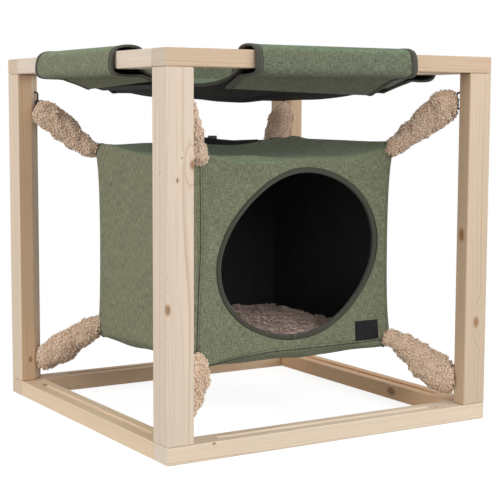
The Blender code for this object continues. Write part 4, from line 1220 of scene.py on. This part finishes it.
def add_arm(level, corner, rows, seed):
    """One arm: a lumpy plush tube, blended from the cube to the frame.

    Its curls lie on a spiral of golden turns, down the tube and then round its end, where a band in the
    middle stays free for the strap."""
    sx, sy = CORNERS[corner]
    turn = np.linspace(0, 2 * math.pi, ARM_SIDES, endpoint=False)
    foot, rays, reach = foot_ring(level, corner, turn)
    add_collar(level, corner, foot, rays, reach)
    direction = arm_axis(level, corner)[1]
    rows = spline_through(rows, 6)
    path = places(sx * rows[:, 0], sy * rows[:, 0], rows[:, 1])
    start = np.array([foot - direction * 0.003, foot + direction * 0.001])
    path = np.vstack([start, path])
    radius = np.concatenate([np.full(2, rows[0, 2]), rows[:, 2]]) - FUR
    along = lengths_along(path)
    even = np.linspace(0, along[-1], 50)
    path = at_lengths(path, along, even)
    path[2:-2] = (path[1:-3] + path[2:-2] * 2 + path[3:-1]) / 4
    radius = np.interp(even, along, radius)
    tangent = tangents_of(path)
    side = unit(np.cross(tangent, [0, 0, 1.0]))
    up = np.cross(side, tangent)
    circle = side[:, None] * np.cos(turn)[:, None] + up[:, None] * np.sin(turn)[:, None]
    share = 1 - smoothstep(even, 0.004, 0.018)[:, None, None]
    cut_shape = rays * (reach - 0.0028)[:, None]
    skin = path[:, None] + circle * radius[:, None, None] * (1 - share) + cut_shape * share
    lumps = 0.0013 * waves(skin, 0.024, seed) + 0.0008 * waves(skin, 0.010, seed + 5)
    skin = skin + circle * (lumps * smoothstep(even, 0.004, 0.016)[:, None])[..., None]
    circle = np.concatenate([circle, circle[:, :1]], 1)
    skin = np.concatenate([skin, skin[:, :1]], 1)
    cap = tangent[-1] * 0.0025
    caps = [path[-1] + cap * (1.3 - wide) + circle[-1] * radius[-1] * wide for wide in (0.75, 0.4, 0.0)]
    rings = np.concatenate([np.repeat(path[:1], ARM_SIDES + 1, 0)[None], skin, np.array(caps)])
    sheet = Sheet()
    # The tube under the curls takes a colour near the roots': painted shade
    sheet.grid(rings, tip=np.full(rings.shape[:2], 0.30))
    k = np.arange(ARM_TUFTS)
    weight = np.cumsum(radius)
    place = np.interp((k + 0.5) / ARM_TUFTS, weight / weight[-1], np.arange(len(radius)))
    column = (k * GOLDEN_TURN % (2 * math.pi)) / (2 * math.pi) * ARM_SIDES
    free = place > 3.0
    roots = sampled(skin, place, column)[free]
    normals = unit(sampled(circle, place, column))[free]
    j = np.arange(END_TUFTS)
    spread = np.sqrt((j + 0.5) / END_TUFTS)
    angle = j * GOLDEN_TURN
    disc = side[-1] * (spread * np.cos(angle))[:, None] + up[-1] * (spread * np.sin(angle))[:, None]
    clear = np.abs(spread * np.cos(angle)) > 0.25
    end_roots = path[-1] + disc * radius[-1] + tangent[-1] * 0.002 * (1 - spread[:, None] ** 2)
    roots = np.vstack([roots, end_roots[clear]])
    normals = np.vstack([normals, unit(disc * 0.9 + tangent[-1] * 0.6)[clear]])
    pile = {"length": 0.0036, "thick": 0.00055, "curl": 0.0009, "turns": 0.8, "lean": 0.30}
    add_tufts(sheet, roots, normals, seed, strands=3, rings=6, sides=4, **pile)
    name = f"arm_{level}_{corner}"
    arm = sheet.make(f"plush_{name}", [BEIGE], name, None, "beige_plush", weld=0.0)
    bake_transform(arm)
    add_strap(level, corner)


def add_collar(level, corner, foot, rays, reach):
    """The dark tape sewn round the cut corner, from which the arm comes out."""
    normal = repeated(arm_axis(level, corner)[1], len(rays))
    profile = [
        (0.0011, -0.0035), (0.0012, 0.0000), (0.0007, 0.0014), (-0.0003, 0.0019), (-0.0013, 0.0011),
        (-0.0015, -0.0035),
    ]
    sheet = Sheet()
    band(sheet, foot + rays * reach[:, None], rays, normal, profile, closed=True)
    sheet.make(f"collar_{level}_{corner}", [BINDING], None, "cube", "binding")


def add_strap(level, corner):
    """The black webbing that comes out of the arm and loops round the saddle's wire."""
    sx, sy = CORNERS[corner]
    out = unit(np.array([-sx, -sy, 0.0]))
    across = np.array([0.0, 0.0, 1.0])
    sideways = np.cross(across, out)
    origin = np.array([sx * SADDLE_MIDDLE, sy * SADDLE_MIDDLE, SADDLE_HEIGHT[level] - STRAP_DROP[level]])
    r = 0.0026
    angles = np.radians(np.linspace(90, 270, 13))
    bend = [(SADDLE_STAND + r * math.cos(a), r * math.sin(a)) for a in angles]
    run = [(0.013, r), (0.010, r), *bend, (0.010, -r), (0.013, -r)]
    path = np.array([origin + out * a + sideways * b for a, b in run])
    normal = unit(np.cross(tangents_of(path), across))
    sheet = Sheet()
    band(sheet, path, repeated(across, len(path)), normal, tape_profile(0.0, 0.011, 0.0012, 3))
    sheet.make(f"strap_{level}_{corner}", [WEBBING], None, "frame", "black_cloth")


def add_arms():
    shapes = {
        "top": (ARM_TOP_FRONT_LEFT, ARM_TOP_FRONT_RIGHT, ARM_TOP_BACK, ARM_TOP_BACK),
        "bottom": (ARM_BOTTOM_FRONT_LEFT, ARM_BOTTOM_FRONT_RIGHT, ARM_BOTTOM_BACK, ARM_BOTTOM_BACK),
    }
    for place, level in enumerate(shapes):
        for index, corner in enumerate(CORNERS):
            add_arm(level, corner, shapes[level][index], 20 + 10 * (4 * place + index))


def add_mat():
    """The plush mat: a crowned cushion with drawn-in sides, and short fur over it."""
    sheet = Sheet()
    n = 56
    turn = np.linspace(-1, 1, n)
    u, v = np.meshgrid(turn, turn, indexing="ij")
    squared = np.maximum(np.abs(u), np.abs(v))
    pull = 1 - 0.020 * (1 - np.minimum(np.abs(u), np.abs(v)) ** 2) * squared**4
    round_off = 1 - 0.045 * (np.abs(u * v)) ** 6
    x, y = u * MAT_HALF * pull * round_off, v * MAT_HALF * pull * round_off
    crown = MAT_CROWN * (1 - u * u) * (1 - v * v)
    edge = smoothstep(1 - squared, 0.0, 0.09)
    shape = places(x, y, 0)
    soft_top = 0.0011 * waves(shape, 0.028, 61) + 0.0012 * waves(shape, 0.11, 62)
    top = MAT_TOP + crown - 0.008 * (1 - edge) ** 2 + soft_top * edge
    floor = soft(places(x, y, 0.0975))[..., 2]
    sink = 0.0008 + 0.006 * (1 - edge) ** 2
    upper, lower, uv = places(x, y, top), places(x, y, floor + sink), places(x, y)
    # The mat's top and sides take a colour near the roots': painted shade under the fur
    tip = np.full(x.shape, 0.35)
    sheet.grid(upper, uv, flip=True, tip=tip)
    sheet.grid(lower, uv, tip=tip)
    steps = np.linspace(0, 1, 7)[:, None, None]
    for over, under in zip(rims_of(upper), rims_of(lower)):
        wall = over * (1 - steps) + under * steps
        out = unit(np.array([*over.mean(0)[:2], 0.0]))
        wall = wall + out * (0.004 * np.sin(math.pi * steps))
        sheet.grid(wall, tip=np.full(wall.shape[:2], 0.3))
    rng = np.random.default_rng(77)
    a, b = rng.uniform(-0.985, 0.985, (2, MAT_TUFTS))
    roots = sampled(upper, (a + 1) / 2 * (n - 1), (b + 1) / 2 * (n - 1))
    normals = unit(places(a**9, b**9, 1))
    pile = {"length": MAT_PILE, "thick": 0.0008, "curl": 0.0010, "turns": 0.4, "lean": 0.9}
    add_tufts(sheet, roots, normals, 78, strands=3, rings=5, sides=3, **pile)
    mat = sheet.make("plush_mat", [TAUPE], "cube_mat", "cube", "taupe_plush", weld=0.0)


# Zip

# How far the tape runs on under the cloth at each end, and how far it sinks below its solid along X
ZIP_TUCK = 0.012
ZIP_SINK = (
    (-0.139, -0.110, -0.060, 0.000, 0.030, 0.055, 0.080, 0.125, 0.139, 0.151),
    (0.0130, 0.0117, 0.0083, 0.0030, 0.0, 0.0030, 0.0050, 0.0040, 0.0036, 0.0060),
)


def add_zip():
    """The zip's woven tape and its chain of nylon teeth."""
    low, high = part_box("zip_tape")
    middle_y = (low[1] + high[1]) / 2
    chain_z = high[2] - 0.0016
    sheet = Sheet()
    count = 80
    xs = np.linspace(low[0] - ZIP_TUCK, high[0] + ZIP_TUCK, count)
    droop = np.interp(xs, *ZIP_SINK)
    path = places(xs, middle_y - droop * 0.3, low[2] - droop)
    across, normal = repeated((0, 0, 1), count), repeated((0, 1, 0), count)
    band(sheet, path, across, normal, tape_profile(0.0, high[2] - low[2] - 0.0012, 0.0016, 3))
    pitch = 0.0016
    turn = np.linspace(0, 2 * math.pi, 9)
    for k in range(int((high[0] - low[0]) / pitch)):
        x = low[0] + (k + 0.5) * pitch
        rings = []
        for offset, size in ((-0.5, 0.55), (-0.25, 1.0), (0.25, 1.0), (0.5, 0.55)):
            y = middle_y + 0.0015 * size * np.cos(turn)
            z = chain_z - np.interp(x, *ZIP_SINK) + 0.0014 * size * np.sin(turn)
            rings.append(places(x + offset * pitch * 0.8, y, z))
        sheet.grid(np.array(rings), slot=1)
    sheet.make("zip_tape_and_chain", [ZIP, NYLON], "zip_tape", "cube", "zip_tape", weld=0.0)


# Hammock


def bed_height(x, y):
    """The bed's underside, as in the solids."""
    reach = ((np.abs(x) / BED_SIZE) ** 6 + (np.abs(y) / BED_SIZE) ** 6) ** (1 / 6)
    return BED_RIM - BED_SAG * (1 - 0.8 * reach**2 - 0.2 * reach**8)


def sleeve_ends(side):
    shift = SLEEVE_SHIFT[side]
    return shift - SLEEVE_LENGTH / 2, shift + SLEEVE_LENGTH / 2


def notch_sizes(corner):
    """How far the corner's notch reaches along X and along Y from the frame's inner corner."""
    sx, sy = CORNERS[corner]
    along_x = sleeve_ends("front" if sy < 0 else "back")[0 if sx < 0 else 1]
    along_y = sleeve_ends("left" if sx < 0 else "right")[0 if sy < 0 else 1]
    return INNER - abs(along_x), INNER - abs(along_y)


def notch_line(corner, steps):
    """The notch's edge in plan, from the front or back sleeve to the side one."""
    sx, sy = CORNERS[corner]
    a, b = notch_sizes(corner)
    angles = np.linspace(0, math.pi / 2, steps)
    x = np.minimum(INNER - a * np.cos(angles), BED_EDGE)
    y = np.minimum(INNER - b * np.sin(angles), BED_EDGE)
    return places(sx * x, sy * y)


def bed_outline():
    """The bed's edge in plan, anticlockwise from the front sleeve's left end."""
    points = []
    order = ("front", "front_right", "right", "back_right", "back", "back_left", "left", "front_left")
    for side, corner in zip(order[::2], order[1::2]):
        low, high = sleeve_ends(side)
        sx, sy = SIDES[side]
        if side in ("back", "left"):
            low, high = high, low
        run = low + (high - low) * np.linspace(0, 1, 26)[:-1]
        points.append(places(run, sy * BED_EDGE) if sy else places(sx * BED_EDGE, run))
        arc = notch_line(corner, 31)
        if side in ("right", "left"):
            arc = arc[::-1]
        points.append(arc[:-1])
    return np.vstack(points)


def bed_folds(x, y):
    """Slack in the bed: long shallow folds that run between the sleeves, none at its rim."""
    p = places(x, y, 0)
    rim = np.maximum(np.abs(x), np.abs(y)) / INNER
    quiet = 1 - smoothstep(rim, 0.48, 0.74)
    return (0.0012 * waves(p, 0.12, 31) + 0.0006 * waves(p, 0.05, 32)) * quiet


def add_bed():
    """The bed: green cloth above, black cloth below, padded a little between them."""
    outline = bed_outline()
    outline = np.vstack([outline, outline[:1]])
    t = np.linspace(0, 1, 64)[:, None, None] ** 0.9
    plan = outline * t
    x, y = plan[..., 0], plan[..., 1]
    under = bed_height(x, y) + bed_folds(x, y)
    thick = BED_THICK * (1 - 0.4 * t[..., 0] ** 20)
    upper, lower = places(x, y, under + thick), places(x, y, under)
    sheet = Sheet()
    sheet.grid(upper, plan)
    sheet.grid(lower, plan, 1, flip=True)
    sheet.grid(np.stack([upper[-1], lower[-1]]))
    # The bed's top takes the green with painted shade
    piece = sheet.make("hammock_cloth", [GREEN_TOP_PAINTED_SHADE, UNDER], "hammock_bed", "frame", "green_cloth")
    add_notch_bindings()


def bound_edge(name, path, across, normal):
    """Binding tape folded round an edge of the hammock's cloth, and the seam beside it."""
    sheet = Sheet()
    band(sheet, path, across, normal, tape_profile(-0.001, TAPE_WIDTH, TAPE_THICK))
    band(sheet, path + across * TAPE_WIDTH, across, normal, SEAM_LINE, slot=1)
    return sheet.make(name, [BINDING, SEAM_AND_PAINTED_SHADOW], None, "frame", "binding")


def add_notch_bindings():
    pieces = []
    for corner, (sx, sy) in CORNERS.items():
        line = notch_line(corner, 40)
        inward = unit(line - np.array([sx * INNER, sy * INNER]))
        inner = line + inward * 0.004
        height = bed_height(line[:, 0], line[:, 1]) + BED_THICK / 2
        height_in = bed_height(inner[:, 0], inner[:, 1]) + BED_THICK / 2
        path = np.column_stack([line, height])
        across = unit(np.column_stack([inner, height_in]) - path)
        normal = unit(np.cross(tangents_of(path), across))
        normal = normal * np.sign(normal[:, 2:])
        pieces.append(bound_edge(f"notch_binding_{corner}", path, across, normal))
    return pieces


# The front sleeve's way up over its rail and back under it: distance from the middle, and height
SLEEVE_OVER = (
    (0.2117, 0.4760), (0.2117, 0.4880), (0.2118, 0.4970), (0.2140, 0.5030), (0.2220, 0.5062),
    (0.2320, 0.5070), (0.2425, 0.5058), (0.2505, 0.5018), (0.2540, 0.4955), (0.2554, 0.4885),
    (0.2558, 0.4815), (0.2546, 0.4760), (0.2508, 0.4722), (0.2445, 0.4704), (0.2340, 0.4698),
    (0.2155, 0.4696),
)

# Where each tail ends at its low and at its high end along the rail, and how far below the bed
TAIL_END = {
    "front": (0.182, 0.158),
    "back": (0.160, 0.160),
    "left": (0.198, 0.176),
    "right": (0.164, 0.160),
}
TAIL_DROP = {"front": 0.0078, "back": 0.0046, "left": 0.0042, "right": 0.0050}


def sleeve_section(side, share):
    """The sleeve's middle line at a share of its length, guessed a little flatter at back and right."""
    low, high = TAIL_END[side]
    end = low + (high - low) * share
    last = np.array([end, bed_height(end, 0.0) - TAIL_DROP[side]])
    over = np.array(SLEEVE_OVER)
    if side in ("back", "right"):
        over[:, 1] -= 0.0026 * np.clip((over[:, 1] - 0.4970) / 0.0092, 0, 1)
    bend = over[-1]
    steps = np.linspace(0, 1, 6)[1:, None]
    tail = bend + (last - bend) * steps
    tail[:, 1] += 0.0008 * np.sin(math.pi * steps[:, 0])
    return spline_through(np.vstack([over, tail]), 5)


def sleeve_surface(side, place, shift_seed):
    """Points of the sleeve for places along the rail, with a little slack in the cloth."""
    sx, sy = SIDES[side]
    share = (place - place[0]) / (place[-1] - place[0])
    sections = np.stack([sleeve_section(side, value) for value in share], 1)
    u, z = sections[..., 0], sections[..., 1]
    p = places(u, place, z)
    tangent = np.gradient(sections, axis=0)
    normal = unit(np.stack([-tangent[..., 1], tangent[..., 0]], -1))
    over = smoothstep(z, 0.500, 0.506)
    below = smoothstep(-z, -0.474, -0.466)
    slack = 0.0006 * below + 0.00030 * (1 - over)
    push = slack * waves(p * [1.0, 1.0, 0.6], 0.060, shift_seed) * (u > 0.2122)
    u = u + normal[..., 0] * push
    z = z + normal[..., 1] * push
    return places(place, sy * u, z) if sy else places(sx * u, place, z)


def add_sleeves():
    for seed, (side, (sx, sy)) in enumerate(SIDES.items()):
        low, high = sleeve_ends(side)
        place = np.linspace(low, high, 70)
        middle = sleeve_surface(side, place, 40 + seed)
        half_way = len(place) // 2
        lengths = lengths_along(middle[:, half_way])
        along = np.array([1.0, 0, 0] if sy else [0, 1.0, 0])
        normal = unit(np.cross(np.gradient(middle, axis=0), along))
        top = np.argmax(middle[:, half_way, 2])
        normal = normal * np.sign(normal[top, half_way, 2])
        outer, inner = middle + normal * CLOTH / 2, middle - normal * CLOTH / 2
        uv = places(place, lengths[:, None])
        sheet = Sheet()
        flip = (sx + sy > 0) == bool(sy)
        sheet.grid(outer, uv, flip=flip)
        sheet.grid(inner, uv, 1, flip=not flip)
        for a in (0, -1):
            sheet.grid(np.stack([outer[a], inner[a]]), flip=flip == (a == 0))
            sheet.grid(np.stack([outer[:, a], inner[:, a]]), flip=flip != (a == 0))
        # Front and back sleeves take the green with painted shade, the left and right ones the green with
        # painted light
        name, green = f"hammock_sleeve_{side}", GREEN_TOP_PAINTED_SHADE if sy else GREEN_FLAP_PAINTED_LIGHT
        piece = sheet.make(f"cloth_{name}", [green, LINING], name, "frame", "green_cloth")
        for end, at_end, inwards in ((0, "low", along), (-1, "high", -along)):
            path, across = middle[:, end], repeated(inwards, len(middle))
            bound_edge(f"sleeve_binding_{side}_{at_end}", path, across, normal[:, end])
        add_closure(side)


def add_closure(side):
    """The hook-and-loop strip between the sleeve's tail and the bed."""
    low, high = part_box(f"closure_strip_{side}")
    sx, sy = SIDES[side]
    axis = 0 if sy else 1
    run = np.linspace(low[axis], high[axis], 40)
    z = bed_height(CLOSURE_OUT, 0.0) - 0.0022
    path = places(run, sy * CLOSURE_OUT, z) if sy else places(sx * CLOSURE_OUT, run, z)
    step = 0.006
    rise = (bed_height(CLOSURE_OUT + step, 0.0) - bed_height(CLOSURE_OUT - step, 0.0)) / (2 * step)
    across = repeated(unit(np.array([sx, sy, rise])), len(run))
    normal = unit(np.cross(tangents_of(path), across))
    sheet = Sheet()
    band(sheet, path, across, normal, tape_profile(-0.010, 0.020, 0.0016, 3))
    name = f"closure_strip_{side}"
    sheet.make(f"hook_and_loop_{side}", [WEBBING], name, "frame", "black_cloth")


# Camera, light and floor

# The floor as it lights the object, as the camera sees it, and how far that is lifted towards white
FLOOR_BOUNCE = (0.50, 0.50, 0.50)
FLOOR_SEEN = (0.34, 0.34, 0.34)
FLOOR_LIFT = 0.83

# Light of the sky on the object, and the lamps' aim and size
SKY_LIGHT = 0.36
LAMP_AIM = (0, 0, 0.25)
LAMP_SIZE = 2.0

# The camera's place round its target, and its lens in millimetres
CAMERA_AZIMUTH = math.radians(31.56)
CAMERA_ELEVATION = math.radians(6.04)
CAMERA_ROLL = math.radians(0.23)
CAMERA_DISTANCE = 1.92617
CAMERA_TARGET = (0.01899, 0.0, 0.22528)
CAMERA_LENS = 95.64


def add_camera():
    data = bpy.data.cameras.new("camera")
    data.lens = CAMERA_LENS
    data.sensor_width = 36
    data.clip_end = 50
    camera = new_object("camera", data)
    ce, se = math.cos(CAMERA_ELEVATION), math.sin(CAMERA_ELEVATION)
    ca, sa = math.cos(CAMERA_AZIMUTH), math.sin(CAMERA_AZIMUTH)
    back = np.array([-sa * ce, -ca * ce, se])
    right = np.array([ca, -sa, 0.0])
    up = np.cross(back, right)
    turn = Matrix([[right[i], up[i], back[i]] for i in range(3)]).to_4x4()
    place = np.array(CAMERA_TARGET) + back * CAMERA_DISTANCE
    roll = Matrix.Rotation(CAMERA_ROLL, 4, "Z")
    camera.matrix_world = Matrix.Translation(place.tolist()) @ turn @ roll
    bpy.context.scene.camera = camera


def add_lamp(name, place, power):
    data = bpy.data.lights.new(name, "AREA")
    data.shape = "SQUARE"
    data.size = LAMP_SIZE
    data.energy = power
    lamp = new_object(name, data)
    lamp.location = place
    away = Vector(place) - Vector(LAMP_AIM)
    lamp.rotation_euler = away.to_track_quat("Z", "Y").to_euler()


def add_world():
    """A white sky that lights the object less than the camera sees it."""
    world = bpy.data.worlds.new("studio")
    bpy.context.scene.world = world
    world.use_nodes = True
    nodes = Nodes(world.node_tree)
    background = nodes.tree.nodes["Background"]
    strength = nodes.remap(nodes.seen_directly(), 0.0, 1.0, SKY_LIGHT, 1.0, smooth=False)
    nodes.put(background, "Strength", strength)
    nodes.put(background, "Color", (1, 1, 1, 1))


def add_floor():
    """A pale floor that keeps the object's soft shadow and turns white away from it."""
    bm = bmesh.new()
    bmesh.ops.create_grid(bm, x_segments=2, y_segments=2, size=9.0)
    mesh = bpy.data.meshes.new("floor")
    bm.to_mesh(mesh)
    bm.free()
    floor = new_object("floor", mesh)
    floor.location.z = CAD_BOX[0][2] - 0.0005
    nodes = Surface("pale_floor", 0.9, specular=0.1)
    seen = nodes.seen_directly()
    nodes.colour(nodes.mix(seen, FLOOR_BOUNCE, FLOOR_SEEN))
    nodes.put(nodes.shader, "Emission Color", (1, 1, 1, 1))
    nodes.put(nodes.shader, "Emission Strength", nodes.math("MULTIPLY", seen, FLOOR_LIFT))
    distance = nodes.vector("LENGTH", nodes.objects())
    far = nodes.math("MULTIPLY", seen, nodes.remap(distance, 0.42, 0.95))
    white = nodes.new("ShaderNodeEmission", Color=(1, 1, 1, 1), Strength=1.0)
    mixed = nodes.new("ShaderNodeMixShader", i0=far, i1=nodes.shader.outputs[0], i2=white.outputs[0])
    nodes.put(nodes.tree.nodes["Material Output"], "Surface", mixed.outputs[0])
    mesh.materials.append(nodes.material)


bpy.context.scene.view_settings.view_transform = "Standard"
add_camera()
add_world()
add_lamp("left", (-2.96, -0.26, 1.45), 56)
add_lamp("front", (0, -2.97, 1.45), 39)
add_lamp("right", (2.10, -2.10, 1.45), 39)
add_floor()
paint_frame()
add_cube_cover()
add_cover_seams()
add_lining_piping()
add_entrance_binding()
add_patch()
add_mat()
add_zip()
add_arms()
add_bed()
add_sleeves()
